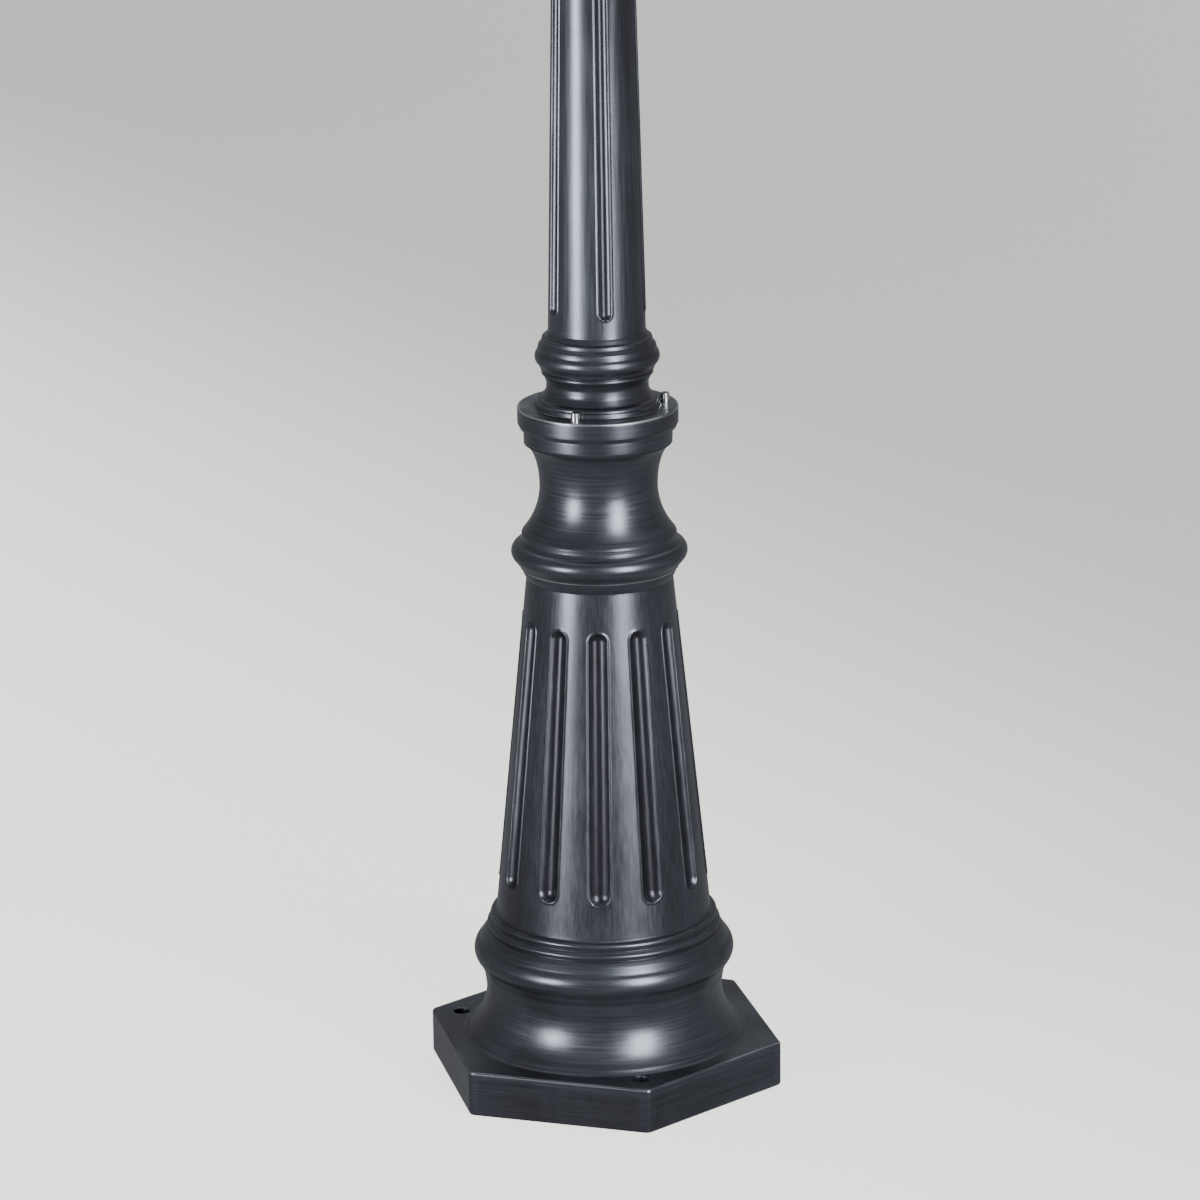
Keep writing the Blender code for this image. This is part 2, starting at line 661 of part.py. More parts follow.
def make_head_fittings(shop):
    """What is fixed to the drum apart from the faces: bolts, finial, gland, terminals and the earth screw."""
    for i, x in enumerate((-DRUM_BOLT_X, DRUM_BOLT_X), 1):
        bolt = shop.join(*hex_bolt(DRUM_BOLT_R, 1577.0, PAD_TOP_Z + GAP, 7.5, 5.5))
        shop.finish(f"drum_bolt_{i}", moved(bolt, shift(x)), "steel")
    shop.finish("finial", shop.turned(finial_outline(), 16), "head_patina")
    gland = shop.join(
        cylinder(CABLE_WAY_R - GAP, 1606.0, PAD_TOP_Z + 2.0, 20),
        cylinder(13.0, PAD_TOP_Z + GAP, PAD_TOP_Z + 7.0, 6),
        cylinder(10.0, PAD_TOP_Z + 6.0, PAD_TOP_Z + 15.0, 20),
    )
    shop.finish("cable_gland", shop.cut(gland, cylinder(4.5, 1600.0, PAD_TOP_Z + 20.0, COARSE)), "plastic")
    block = box((-18.0, 23.0, PAD_TOP_Z + GAP), (18.0, 37.0, PAD_TOP_Z + 16.0), 1.2)
    wells = [cylinder(2.6, PAD_TOP_Z + 9.0, PAD_TOP_Z + 20.0, COARSE, x, 30.0) for x in (-12.0, 0.0, 12.0)]
    shop.finish("terminal_block", shop.cut(block, *wells), "plastic")
    earth = shop.join(*hex_bolt(2.5, 1607.0, PAD_TOP_Z + GAP, 4.6, 3.5))
    shop.finish("earth_screw", moved(earth, shift(0.0, -33.0)), "brass")


def make_bezel(shop, tag, back):
    """The hinged ring that carries the glass, with its middle knuckle and the latch's ear."""
    body = facing(shop.turned(bezel_outline(), FINE, closed=True))
    split = KNUCKLE_SPLIT
    lug = box((HINGE_X, 0.8, -split), (-184.0, 6.4, split))
    knuckle = shop.join(hinge_barrel(-split, split), lug)
    ear = box((184.0, 0.8, -9.0), (204.0, 9.0, 9.0))
    body = shop.join(body, knuckle, ear)
    latch_hole = facing(cylinder(LATCH_R + GAP, -5.0, 15.0, COARSE, LATCH_X))
    body = shop.cut(body, hinge_bore(), latch_hole)
    shop.finish(f"bezel_{tag}", placed(body, back), "head_patina")


def make_glazing(shop, tag, back):
    """The glass and the rubber-faced ring that holds it in the bezel from behind."""
    glass = facing(cylinder(GLASS_R, *GLASS_D, FINE))
    shop.finish(f"glass_{tag}", placed(glass, back), "glass")
    low, high = RETAINER_D
    section = [(SIGHT_R + 1.0, high), (GLASS_R, high), (GLASS_R, low), (SIGHT_R + 1.0, low)]
    ring = facing(shop.turned(section, FINE, closed=True))
    shop.finish(f"glass_retainer_{tag}", placed(ring, back), "gasket")


def make_dial(shop, tag, back):
    """The dial plate and its three screws."""
    plate = facing(cylinder(DIAL_R, *DIAL_D, FINE))
    places = [polar(DIAL_SCREW_CIRCLE_R, angle) for angle in DIAL_SCREW_ANGLES]
    holes = [facing(cylinder(1.5 + GAP, -2.0, 5.0, 10, x, -z)) for x, z in places]
    bore = facing(cylinder(BUSH_R + 1.0, -2.0, 5.0, 24))
    shop.finish(f"dial_{tag}", placed(shop.cut(plate, bore, *holes), back), "dial")
    head_low = DIAL_D[1] + GAP
    outline = [(0.0, head_low + 2.0), (1.9, head_low + 1.7), (2.8, head_low + 0.5), (2.8, head_low)]
    outline += [(1.5, head_low), (1.5, -6.0), (0.0, -6.0)]
    screw = shop.cut(shop.turned(outline, 10), box((-3.0, -0.4, head_low + 1.0), (3.0, 0.4, head_low + 3.0)))
    for i, (x, z) in enumerate(places, 1):
        own = facing(copy_of(screw, shift(x, -z)))
        shop.finish(f"dial_screw_{tag}_{i}", placed(own, back), "steel")


def make_movement(shop, tag, back):
    """The motor's case and bush, the nut that clamps the bush to the dial, the hour pipe and the arbor."""
    half = MOVEMENT_SIZE / 2
    case = box((-half, MOVEMENT_D[0], -half), (half, MOVEMENT_D[1], half), 2.5)
    bush = facing(cylinder(BUSH_R, MOVEMENT_D[0] / 2, 4.6, 20))
    pipe_hole = facing(cylinder(PIPE_R + GAP, -8.0, 8.0, 20))
    arbor_hole = facing(cylinder(ARBOR_R + GAP, -20.0, 0.0, COARSE))
    case = shop.cut(shop.join(case, bush), pipe_hole, arbor_hole)
    shop.finish(f"movement_{tag}", placed(case, back), "plastic")
    nut = shop.cut(cylinder(11.0, DIAL_D[1] + GAP, 4.5, 6), cylinder(BUSH_R + GAP, 0.0, 9.0, 20))
    shop.finish(f"bush_nut_{tag}", placed(facing(nut), back), "brass")
    pipe = shop.cut(cylinder(PIPE_R, -7.0, HOUR_D[1], 20), cylinder(ARBOR_R + GAP, -9.0, 9.0, COARSE))
    shop.finish(f"hour_pipe_{tag}", placed(facing(pipe), back), "brass")
    arbor = facing(cylinder(ARBOR_R, -19.0, HAND_NUT_D[1] - 1.2, COARSE))
    shop.finish(f"minute_arbor_{tag}", placed(arbor, back), "steel")


def blade(outline, thickness):
    """A flat plate from a closed outline of (x, z) points, between two distances outwards."""
    curve = bpy.data.curves.new("blade", "CURVE")
    curve.dimensions = "2D"
    curve.fill_mode = "BOTH"
    curve.extrude = (thickness[1] - thickness[0]) / 2 * MM
    spline = curve.splines.new("POLY")
    spline.points.add(len(outline) - 1)
    for point, (x, z) in zip(spline.points, outline):
        point.co = (x * MM, z * MM, 0.0, 1.0)
    spline.use_cyclic_u = True
    return curve


def hand_outline(length, width, tail, hub):
    """A spade hand at twelve: a round hub, a blade with a leaf near its tip, and a round-ended tail."""
    right = [(width * 0.5, hub * 0.92), (width * 0.34, length * 0.60), (width * 1.05, length * 0.70)]
    right += [(width * 0.95, length * 0.76), (width * 0.28, length * 0.88), (0.0, length)]
    left = [(-x, z) for x, z in reversed(right[:-1])]
    hub_left = arc((0.0, 0.0), (hub, hub), 113.0, 247.0, 7)
    hub_right = arc((0.0, 0.0), (hub, hub), -67.0, 67.0, 7)
    tail_end = arc((0.0, -tail), (width * 0.85, width * 0.85), 180.0, 360.0, 5)
    tail_left = [(-width * 0.42, -hub * 1.1), *tail_end[:1]]
    return right + left + hub_left + tail_left + tail_end[1:] + [(width * 0.42, -hub * 1.1)] + hub_right


def make_hand(shop, name, outline, depth, bore_r, angle, back):
    """A hand cut from sheet, with a hole for the pipe or arbor that carries it."""
    curve = bpy.data.objects.new("hand", blade(outline, depth))
    shop.cutters.objects.link(curve)
    mesh = shop.evaluated(curve)
    welded = bmesh.new()
    welded.from_mesh(mesh)
    bmesh.ops.remove_doubles(welded, verts=welded.verts, dist=0.00001)
    mesh = mesh_of(welded)
    mesh.transform(shift(0, 0, (depth[0] + depth[1]) / 2))
    mesh = shop.cut(mesh, cylinder(bore_r + GAP, depth[0] - 5.0, depth[1] + 5.0, 20))
    mesh = moved(facing(moved(mesh, turn(180.0))), turn(angle, "Y"))
    shop.finish(name, placed(mesh, back), "hands", angle=20.0)


def make_hands(shop, tag, back):
    """The hour and minute hands and the cap nut that holds them."""
    hour, minute = hand_outline(*HOUR_HAND), hand_outline(*MINUTE_HAND)
    make_hand(shop, f"hour_hand_{tag}", hour, HOUR_D, PIPE_R, HOUR_ANGLE, back)
    make_hand(shop, f"minute_hand_{tag}", minute, MINUTE_D, ARBOR_R, MINUTE_ANGLE, back)
    low, high = HAND_NUT_D
    outline = [(0.0, high), (2.6, high - 0.3), (4.4, high - 1.0), (5.2, low + 0.7), (5.2, low), (0.0, low)]
    nut = shop.cut(shop.turned(outline, 20), cylinder(ARBOR_R + GAP, low - 2.0, high - 0.8, COARSE))
    shop.finish(f"hand_nut_{tag}", placed(facing(nut), back), "brass")


def make_hinge_pin(shop, tag, back):
    outline = [(0.0, 29.4), (2.6, 29.0), (3.8, 27.6), (3.8, KNUCKLE_END + GAP), (PIN_R, KNUCKLE_END + GAP)]
    outline += [(PIN_R, -27.4), (PIN_R - 0.7, -28.0), (0.0, -28.0)]
    pin = moved(shop.turned(outline, COARSE), shift(HINGE_X, HINGE_D))
    shop.finish(f"hinge_pin_{tag}", placed(pin, back), "steel")


def make_latch(shop, tag, back):
    """A quarter-turn latch: slotted head, shaft through the bezel's ear, and a cam behind the strike."""
    head = shop.turned([(0.0, 12.6), (6.6, 12.6), (7.5, 11.8), (7.5, 9.3), (0.0, 9.3)], 20)
    shaft = cylinder(LATCH_R, LATCH_CAM_D[0], 10.0, COARSE)
    low, high = LATCH_CAM_D
    cam = box((-LATCH_CAM_HALF, -LATCH_CAM_LENGTH, low + 0.1), (LATCH_CAM_HALF, 0.0, high))
    latch = shop.join(head, shaft, cam)
    latch = shop.cut(latch, box((-0.8, -5.0, 11.0), (0.8, 5.0, 14.0)))
    latch = facing(latch)
    shop.finish(f"latch_{tag}", placed(moved(latch, shift(LATCH_X)), back), "steel")


def make_face(shop, tag, back):
    make_bezel(shop, tag, back)
    make_glazing(shop, tag, back)
    make_dial(shop, tag, back)
    make_movement(shop, tag, back)
    make_hands(shop, tag, back)
    make_hinge_pin(shop, tag, back)
    make_latch(shop, tag, back)


def main():
    clear_scene()
    shop = Shop()
    make_base_casting(shop)
    make_shaft_casting(shop)
    make_studs(shop)
    make_socket(shop)
    make_drum(shop)
    make_head_fittings(shop)
    make_face(shop, "front", False)
    make_face(shop, "back", True)


main()
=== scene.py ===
"""Looks of the post clock: brushed dark patina, bright studs, and a glazed ivory dial on each face.

Lengths here are millimetres in the row frame, turned into metres by MM. +Z is up and the front dial
looks along -Y.
"""

import json
import math

import bmesh
import bpy
import numpy as np
from mathutils import Matrix, Vector


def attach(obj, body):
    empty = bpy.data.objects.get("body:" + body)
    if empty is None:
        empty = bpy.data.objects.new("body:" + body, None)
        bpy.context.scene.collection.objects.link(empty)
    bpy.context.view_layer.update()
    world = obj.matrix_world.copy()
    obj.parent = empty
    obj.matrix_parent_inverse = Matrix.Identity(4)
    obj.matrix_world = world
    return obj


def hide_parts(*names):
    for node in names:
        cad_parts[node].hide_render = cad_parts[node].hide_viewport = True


MM = 0.001
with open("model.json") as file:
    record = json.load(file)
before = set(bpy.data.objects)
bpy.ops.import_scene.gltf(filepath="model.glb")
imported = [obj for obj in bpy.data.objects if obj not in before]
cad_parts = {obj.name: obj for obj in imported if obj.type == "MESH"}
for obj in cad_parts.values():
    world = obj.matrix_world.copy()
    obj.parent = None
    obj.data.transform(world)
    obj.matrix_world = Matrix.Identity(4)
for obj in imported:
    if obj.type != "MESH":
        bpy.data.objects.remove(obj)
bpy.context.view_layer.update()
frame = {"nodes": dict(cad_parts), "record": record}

# Camera: placed from the object, for a 1200 x 1200 picture
CAMERA_AZIMUTH = 16.88
CAMERA_DISTANCE = 4.2986
CAMERA_HEIGHT = 1.7035
CAMERA_PITCH = 16.52
CAMERA_ROLL = -0.67
CAMERA_LENS = 157.11

# Driving sizes
FOOT_FLAT = 160.0 * math.cos(math.radians(30.0))
FOOT_TOP = 40.0
ANCHOR_CIRCLE_R = 132.0
ANCHOR_ANGLES = (-60.0, 60.0, 180.0)
SHAFT_LOW, SHAFT_HIGH = 152.0, 451.4
POST_FOOT_Z, POST_TOP_Z = 667.2, 1455.0
SHAFT_FLUTE_TURN = 9.0
STUD_CIRCLE_R = 58.2
STUD_TURN = -2.0
STUD_LOW, STUD_LENGTH = 573.6, 35.0
DRUM_Z = 1790.0
DRUM_HALF = 60.0
HINGE_X, HINGE_D = -194.0, 3.0
PIN_R = 2.5
LATCH_X = 196.0


# ---------------------------------------------------------------- outlines


def arc(centre, radii, start, end, steps=12):
    angles = np.radians(np.linspace(start, end, steps + 1))
    return [(centre[0] + radii[0] * math.cos(a), centre[1] + radii[1] * math.sin(a)) for a in angles]


def rounded(points):
    """An outline whose corners, given as (r, z, fillet), are rounded by their fillets."""
    found = []
    for i, point in enumerate(points):
        if len(point) == 2 or i in (0, len(points) - 1):
            found.append(tuple(point[:2]))
            continue
        corner = Vector(point[:2])
        before, after = Vector(points[i - 1][:2]) - corner, Vector(points[i + 1][:2]) - corner
        half = before.angle(after) / 2
        reach = min(point[2] / math.tan(half), 0.49 * before.length, 0.49 * after.length)
        start, end = corner + before.normalized() * reach, corner + after.normalized() * reach
        for t in np.linspace(0.0, 1.0, 6):
            found.append(tuple((1 - t) ** 2 * start + 2 * t * (1 - t) * corner + t**2 * end))
    return found


def dense(outline, step):
    """The outline with no gap between its points longer than step."""
    found = []
    for a, b in zip(outline[:-1], outline[1:]):
        count = max(1, math.ceil(math.dist(a, b) / step))
        found += [(a[0] + (b[0] - a[0]) * i / count, a[1] + (b[1] - a[1]) * i / count) for i in range(count)]
    return np.array(found + [outline[-1]])


def crest(points, reach=1.8):
    """How far each point stands out from its neighbours' chord: above 0 on a crest, below in a groove."""
    lengths = np.concatenate([[0.0], np.cumsum(np.hypot(*np.diff(points, axis=0).T))])
    ahead = np.stack([np.interp(lengths + reach, lengths, points[:, k]) for k in (0, 1)], axis=1)
    behind = np.stack([np.interp(lengths - reach, lengths, points[:, k]) for k in (0, 1)], axis=1)
    along = ahead - behind
    normal = np.stack([-along[:, 1], along[:, 0]], axis=1)
    normal /= np.maximum(np.linalg.norm(normal, axis=1, keepdims=True), 1e-9)
    return ((points - (ahead + behind) / 2) * normal).sum(axis=1)


def scuffed_and_lit_edges(points, heights, strength):
    """Abrasion along an outline: a little on every crest, and full on the sharp edges at the given heights,
    where the bright line is partly abrasion and partly a painted highlight.
    """
    wear_and_painted_light = strength * crest(points)
    for height in heights:
        wear_and_painted_light += 0.7 * np.exp(-(((points[:, 1] - height) / 0.9) ** 2)) * outer_side(points)
    return wear_and_painted_light


# ---------------------------------------------------------------- meshes


def grid_mesh(radius, angle, height, wear_and_painted_light, ring, closed):
    """A turned surface from rows and columns of radius, angle and height, with its brushing and its abrasion,
    painted shade and painted highlights.
    """
    rows, columns = radius.shape
    points = np.stack([radius * np.cos(angle), radius * np.sin(angle), height], axis=2)
    points = points.reshape(-1, 3) * MM
    index = np.arange(rows * columns).reshape(rows, columns)
    if closed:
        index = np.vstack([index, index[:1]])
    right = np.roll(index, -1, axis=1)
    faces = np.stack([index[:-1], index[1:], right[1:], right[:-1]], axis=2).reshape(-1, 4)
    mesh = bpy.data.meshes.new("turned")
    mesh.from_pydata(points.tolist(), [], faces.tolist())
    for name, values in (("wear_and_painted_light", wear_and_painted_light), ("ring", ring)):
        layer = mesh.attributes.new(name, "FLOAT", "POINT")
        values = np.broadcast_to(values, radius.shape).astype(np.float32)
        layer.data.foreach_set("value", values.ravel())
    return tidy(mesh)


def tidy(mesh):
    """Welds poles and seams, and turns the faces outwards."""
    solid = bmesh.new()
    solid.from_mesh(mesh)
    bmesh.ops.remove_doubles(solid, verts=solid.verts, dist=1e-6)
    bmesh.ops.dissolve_degenerate(solid, dist=1e-7, edges=solid.edges)
    bmesh.ops.recalc_face_normals(solid, faces=solid.faces)
    if solid.calc_volume(signed=True) < 0:
        bmesh.ops.reverse_faces(solid, faces=solid.faces)
    solid.to_mesh(mesh)
    solid.free()
    return mesh


def lathe(outline, columns=96, step=2.5, closed=False, ring=1.0):
    points = dense(outline + outline[:1] if closed else outline, step)
    # Above zero on crests, for a little scuffing; below zero in grooves, which the patina darkens as painted
    # shade.
    wear_and_painted_light = crest(points)
    if closed:
        points, wear_and_painted_light = points[:-1], wear_and_painted_light[:-1]
    shape = (len(points), columns)
    angle = np.broadcast_to(np.linspace(0.0, 2 * math.pi, columns, endpoint=False), shape)
    radius = np.broadcast_to(points[:, :1], shape)
    height = np.broadcast_to(points[:, 1:], shape)
    return grid_mesh(radius, angle, height, wear_and_painted_light[:, None], ring, closed)


def fluted(outline, shaft, count, first, ends, widths, depth, lip, lit_scuff_heights):
    """A turned body whose shaft, between two heights, has a ring of round-ended flutes with raised lips."""
    low, high = shaft
    points = dense(outline + outline[:1], 2.2)[:-1]
    in_shaft = (points[:, 1] > low + 1) & (points[:, 1] < high - 1) & outer_side(points)
    first_row = np.flatnonzero(in_shaft)[0]
    above, below = points[:first_row], points[np.flatnonzero(in_shaft)[-1] + 1 :]
    reach = max(widths)
    levels = np.concatenate(
        [
            np.arange(high - 2.0, ends[1] + 4.0, -8.0),
            np.arange(ends[1] + 4.0, ends[1] - reach, -0.7),
            np.linspace(ends[1] - reach, ends[0] + reach, 24)[1:-1],
            np.arange(ends[0] + reach, ends[0] - 4.0, -0.7),
            np.arange(ends[0] - 8.0, low + 1.0, -8.0),
        ]
    )
    top, foot = points[in_shaft][0], points[in_shaft][-1]
    level_r = np.interp(levels, [foot[1], top[1]], [foot[0], top[0]])
    points = np.vstack([above, np.stack([level_r, levels], axis=1), below])
    on_shaft = np.zeros(len(points), bool)
    on_shaft[len(above) : len(above) + len(levels)] = True

    half = np.interp(points[:, 1], ends, widths) / 2
    outer = 1.0 + 4.5 * lip / half.mean()
    across = np.concatenate([np.linspace(0.0, 0.8, 5), np.linspace(0.86, outer, 10)])
    period = 2 * math.pi / count
    edge = half * outer / np.maximum(points[:, 0], 40.0)
    between = np.linspace(0.0, 1.0, 5)[1:]
    right = np.concatenate(
        [
            across[None, :] * (half / np.maximum(points[:, 0], 40.0))[:, None],
            edge[:, None] + (period / 2 - edge)[:, None] * between[None, :],
        ],
        axis=1,
    )
    one = np.concatenate([-right[:, :0:-1], right[:, :-1]], axis=1)
    angle = np.concatenate([one + math.radians(first) + period * i for i in range(count)], axis=1)
    one_mm = one * points[:, :1]
    radius = np.broadcast_to(points[:, :1], angle.shape).copy()
    height = np.broadcast_to(points[:, 1:], angle.shape)
    wear_and_painted_light = np.broadcast_to(scuffed_and_lit_edges(points, lit_scuff_heights, 0.3)[:, None], angle.shape).copy()

    z = points[:, 1:]
    w = half[:, None]
    beyond = np.maximum(z - (ends[1] - w), 0.0) + np.maximum((ends[0] + w) - z, 0.0)
    outside = np.hypot(one_mm, beyond) - w
    circle = (w**2 + depth**2) / (2 * depth)
    inside = np.clip(w + outside, 0.0, w)
    hollow = np.where(outside < 0, np.sqrt(circle**2 - inside**2) - (circle - depth), 0.0)
    bead = lip * np.exp(-(((outside - lip) / (1.1 * lip)) ** 2))
    radius += np.tile((bead - hollow) * on_shaft[:, None], (1, count))
    lip_wear = 0.22 * np.exp(-(((outside - lip) / lip) ** 2))
    # The flutes' hollows are darkened: painted shade.
    hollow_painted_shade = 0.4 * np.clip(-outside / 3.0, 0.0, 1.0)
    wear_and_painted_light += np.tile((lip_wear - hollow_painted_shade) * on_shaft[:, None], (1, count))
    ring = np.broadcast_to(np.where(on_shaft, 0.0, 1.0)[:, None], angle.shape)
    return grid_mesh(radius, angle, height, wear_and_painted_light, ring, True)


def outer_side(points):
    """Which of a closed outline's points are on its first, outer run from top to bottom."""
    lowest = np.argmin(points[:, 1])
    return np.arange(len(points)) < lowest


def joined(*meshes):
    whole = bmesh.new()
    for mesh in meshes:
        whole.from_mesh(mesh)
        bpy.data.meshes.remove(mesh)
    mesh = bpy.data.meshes.new("joined")
    whole.to_mesh(mesh)
    whole.free()
    return mesh


def moved(mesh, matrix):
    mesh.transform(matrix)
    if matrix.determinant() < 0:
        mesh.flip_normals()
    return mesh


def shift(x=0.0, y=0.0, z=0.0):
    return Matrix.Translation(Vector((x, y, z)) * MM)


def on_circle(radius, degrees):
    return radius * math.cos(math.radians(degrees)), radius * math.sin(math.radians(degrees))


def turn(degrees, axis="Z"):
    return Matrix.Rotation(math.radians(degrees), 4, axis)


def block(low, high, edge_round=1.0, wear_and_painted_light=0.35):
    """A box between two corners with rounded edges."""
    solid = bmesh.new()
    size = [(b - a) * MM for a, b in zip(low, high)]
    centre = [(a + b) / 2 for a, b in zip(low, high)]
    bmesh.ops.create_cube(solid, size=1.0, matrix=shift(*centre) @ Matrix.Diagonal((*size, 1.0)))
    if edge_round:
        sizes = {"offset": edge_round * MM, "offset_type": "OFFSET", "segments": 3, "profile": 0.5}
        bmesh.ops.bevel(solid, geom=solid.edges[:], affect="EDGES", **sizes)
    mesh = bpy.data.meshes.new("block")
    solid.to_mesh(mesh)
    solid.free()
    layer = mesh.attributes.new("wear_and_painted_light", "FLOAT", "POINT")
    layer.data.foreach_set("value", np.full(len(mesh.vertices), wear_and_painted_light, np.float32))
    return mesh


def rod(radius, low, high, columns=32, edge=0.4):
    outline = [(0.0, high), (radius, high, edge), (radius, low, edge), (0.0, low)]
    return lathe(rounded(outline), columns, step=40.0)


def cut(mesh, *tools):
    """The mesh with each tool's solid taken out of it."""
    for tool in tools:
        base, cutter = bpy.data.objects.new("base", mesh), bpy.data.objects.new("cutter", tool)
        for obj in (base, cutter):
            bpy.context.scene.collection.objects.link(obj)
        modifier = base.modifiers.new("cut", "BOOLEAN")
        modifier.operation = "DIFFERENCE"
        modifier.solver = "EXACT"
        modifier.object = cutter
        bpy.context.view_layer.update()
        graph = bpy.context.evaluated_depsgraph_get()
        mesh = bpy.data.meshes.new_from_object(base.evaluated_get(graph), depsgraph=graph)
        for obj in (base, cutter):
            bpy.data.objects.remove(obj)
    return mesh


def piece(name, mesh, body, slot, material, *nodes, sharp=50.0):
    """A visible piece that rides on a body and stands for the named CAD nodes."""
    mesh.name = name
    mesh.materials.clear()
    mesh.materials.append(material)
    mesh.shade_smooth()
    mesh.set_sharp_from_angle(angle=math.radians(sharp))
    obj = bpy.data.objects.new(name, mesh)
    bpy.context.scene.collection.objects.link(obj)
    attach(obj, body)
    if nodes:
        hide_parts(*nodes)
    return obj


# ---------------------------------------------------------------- materials


class Nodes:
    """A short way to write a material's nodes."""

    def __init__(self, name):
        self.material = bpy.data.materials.new(name)
        self.material.use_nodes = True
        self.tree = self.material.node_tree
        self.shader = self.tree.nodes["Principled BSDF"]

    def node(self, kind, **settings):
        made = self.tree.nodes.new(kind)
        for key, value in settings.items():
            setattr(made, key, value)
        return made

    def put(self, value, socket):
        if isinstance(value, bpy.types.NodeSocket):
            self.tree.links.new(value, socket)
        else:
            socket.default_value = value

    def math(self, operation, a, b=0.0, clamp=False):
        made = self.node("ShaderNodeMath", operation=operation, use_clamp=clamp)
        self.put(a, made.inputs[0])
        self.put(b, made.inputs[1])
        return made.outputs[0]

    def attribute(self, name):
        return self.node("ShaderNodeAttribute", attribute_name=name).outputs["Fac"]

    def noise(self, scale, detail=4.0, rough=0.6, distortion=0.0):
        """Noise in the object's own space, with a separate scale along each axis."""
        place = self.node("ShaderNodeTexCoord").outputs["Object"]
        mapping = self.node("ShaderNodeMapping")
        self.put(place, mapping.inputs["Vector"])
        mapping.inputs["Scale"].default_value = scale
        made = self.node("ShaderNodeTexNoise")
        self.put(mapping.outputs[0], made.inputs["Vector"])
        made.inputs["Scale"].default_value = 1.0
        made.inputs["Detail"].default_value = detail
        made.inputs["Roughness"].default_value = rough
        made.inputs["Distortion"].default_value = distortion
        return made.outputs["Fac"]

    def turned_noise(self, fine, slow):
        """Noise drawn out in rings about the drum's axis."""
        parts = self.node("ShaderNodeSeparateXYZ")
        self.put(self.node("ShaderNodeTexCoord").outputs["Object"], parts.inputs[0])
        up = self.math("SUBTRACT", parts.outputs["Z"], DRUM_Z * MM)
        across = self.math("POWER", parts.outputs["X"], 2.0)
        square = self.math("ADD", across, self.math("POWER", up, 2.0))
        place = self.node("ShaderNodeCombineXYZ")
        self.put(self.math("MULTIPLY", self.math("SQRT", square), fine), place.inputs["X"])
        self.put(self.math("MULTIPLY", parts.outputs["Y"], fine), place.inputs["Y"])
        self.put(self.math("MULTIPLY", self.math("ADD", parts.outputs["X"], up), slow), place.inputs["Z"])
        made = self.node("ShaderNodeTexNoise")
        self.put(place.outputs[0], made.inputs["Vector"])
        made.inputs["Scale"].default_value = 1.0
        made.inputs["Detail"].default_value = 5.0
        made.inputs["Roughness"].default_value = 0.65
        return made.outputs["Fac"]

    def spread(self, value, low, high, to_low=0.0, to_high=1.0):
        made = self.node("ShaderNodeMapRange", interpolation_type="SMOOTHSTEP")
        self.put(value, made.inputs["Value"])
        ends = {"From Min": low, "From Max": high, "To Min": to_low, "To Max": to_high}
        for key, number in ends.items():
            made.inputs[key].default_value = number
        return made.outputs["Result"]

    def mix(self, fac, a, b, kind="RGBA"):
        made = self.node("ShaderNodeMix", data_type=kind)
        inputs = [s for s in made.inputs if s.enabled and s.name in ("A", "B")]
        self.put(fac, next(s for s in made.inputs if s.enabled and s.name == "Factor"))
        for value, socket in zip((a, b), inputs):
            if kind == "RGBA" and not isinstance(value, bpy.types.NodeSocket):
                value = (*value, 1.0)
            self.put(value, socket)
        return next(s for s in made.outputs if s.enabled)

    def bump(self, height, strength, distance):
        made = self.node("ShaderNodeBump")
        made.inputs["Strength"].default_value = strength
        made.inputs["Distance"].default_value = distance * MM
        self.put(height, made.inputs["Height"])
        self.put(made.outputs[0], self.shader.inputs["Normal"])

    def set(self, **values):
        for key, value in values.items():
            value = (*value, 1.0) if isinstance(value, tuple) else value
            self.put(value, self.shader.inputs[key.replace("_", " ")])
        return self.material


def patina(name, is_head):
    """Near-black patina brushed back to bright metal on crests.

    The brush marks run round the post's mouldings where ring is 1. Elsewhere they run down the post's
    shafts, or round the drum's axis on the head.
    """
    n = Nodes(name)
    along = n.turned_noise(620.0, 14.0) if is_head else n.noise((520.0, 520.0, 9.0), detail=5.0, rough=0.65)
    around = n.noise((14.0, 14.0, 620.0), detail=5.0, rough=0.65)
    brush = n.mix(n.attribute("ring"), along, around, "FLOAT")
    cloud = n.noise((11.0, 11.0, 7.0), detail=6.0, rough=0.55, distortion=0.4)
    # The attribute read here is above zero where scuffed, and at some sharp edges also a painted highlight;
    # below zero it is painted shade, in grooves, in the flutes' hollows and on the foot plate's upright
    # faces.
    wear_and_painted_light = n.attribute("wear_and_painted_light")
    rub_and_highlight = n.math("MULTIPLY", wear_and_painted_light, n.spread(brush, 0.3, 0.72, 0.45, 1.35))
    rub_and_highlight = n.math("MULTIPLY", rub_and_highlight, n.spread(cloud, 0.3, 0.7, 0.7, 1.2))
    bright = n.spread(rub_and_highlight, 0.16, 1.0, 0.0, 0.7)
    # Painted shade: near-black where the attribute is below zero.
    painted_shade = n.spread(wear_and_painted_light, -0.05, -0.5, 0.0, 0.75)
    streaks = n.spread(brush, 0.25, 0.8, 0.45, 1.0)
    tone = n.math("MULTIPLY", streaks, n.spread(cloud, 0.3, 0.7, 0.4, 1.0))
    colour = n.mix(tone, (0.034, 0.031, 0.041), (0.106, 0.118, 0.139))
    colour = n.mix(bright, colour, (0.49, 0.515, 0.55))
    colour = n.mix(painted_shade, colour, (0.017, 0.015, 0.020))
    rough = n.spread(brush, 0.25, 0.8, 0.27, 0.39)
    n.bump(brush, 0.16, 0.1)
    n.set(Base_Color=colour, Roughness=rough, Metallic=0.9)
    return n.set(Coat_Weight=0.12, Coat_Roughness=0.22)


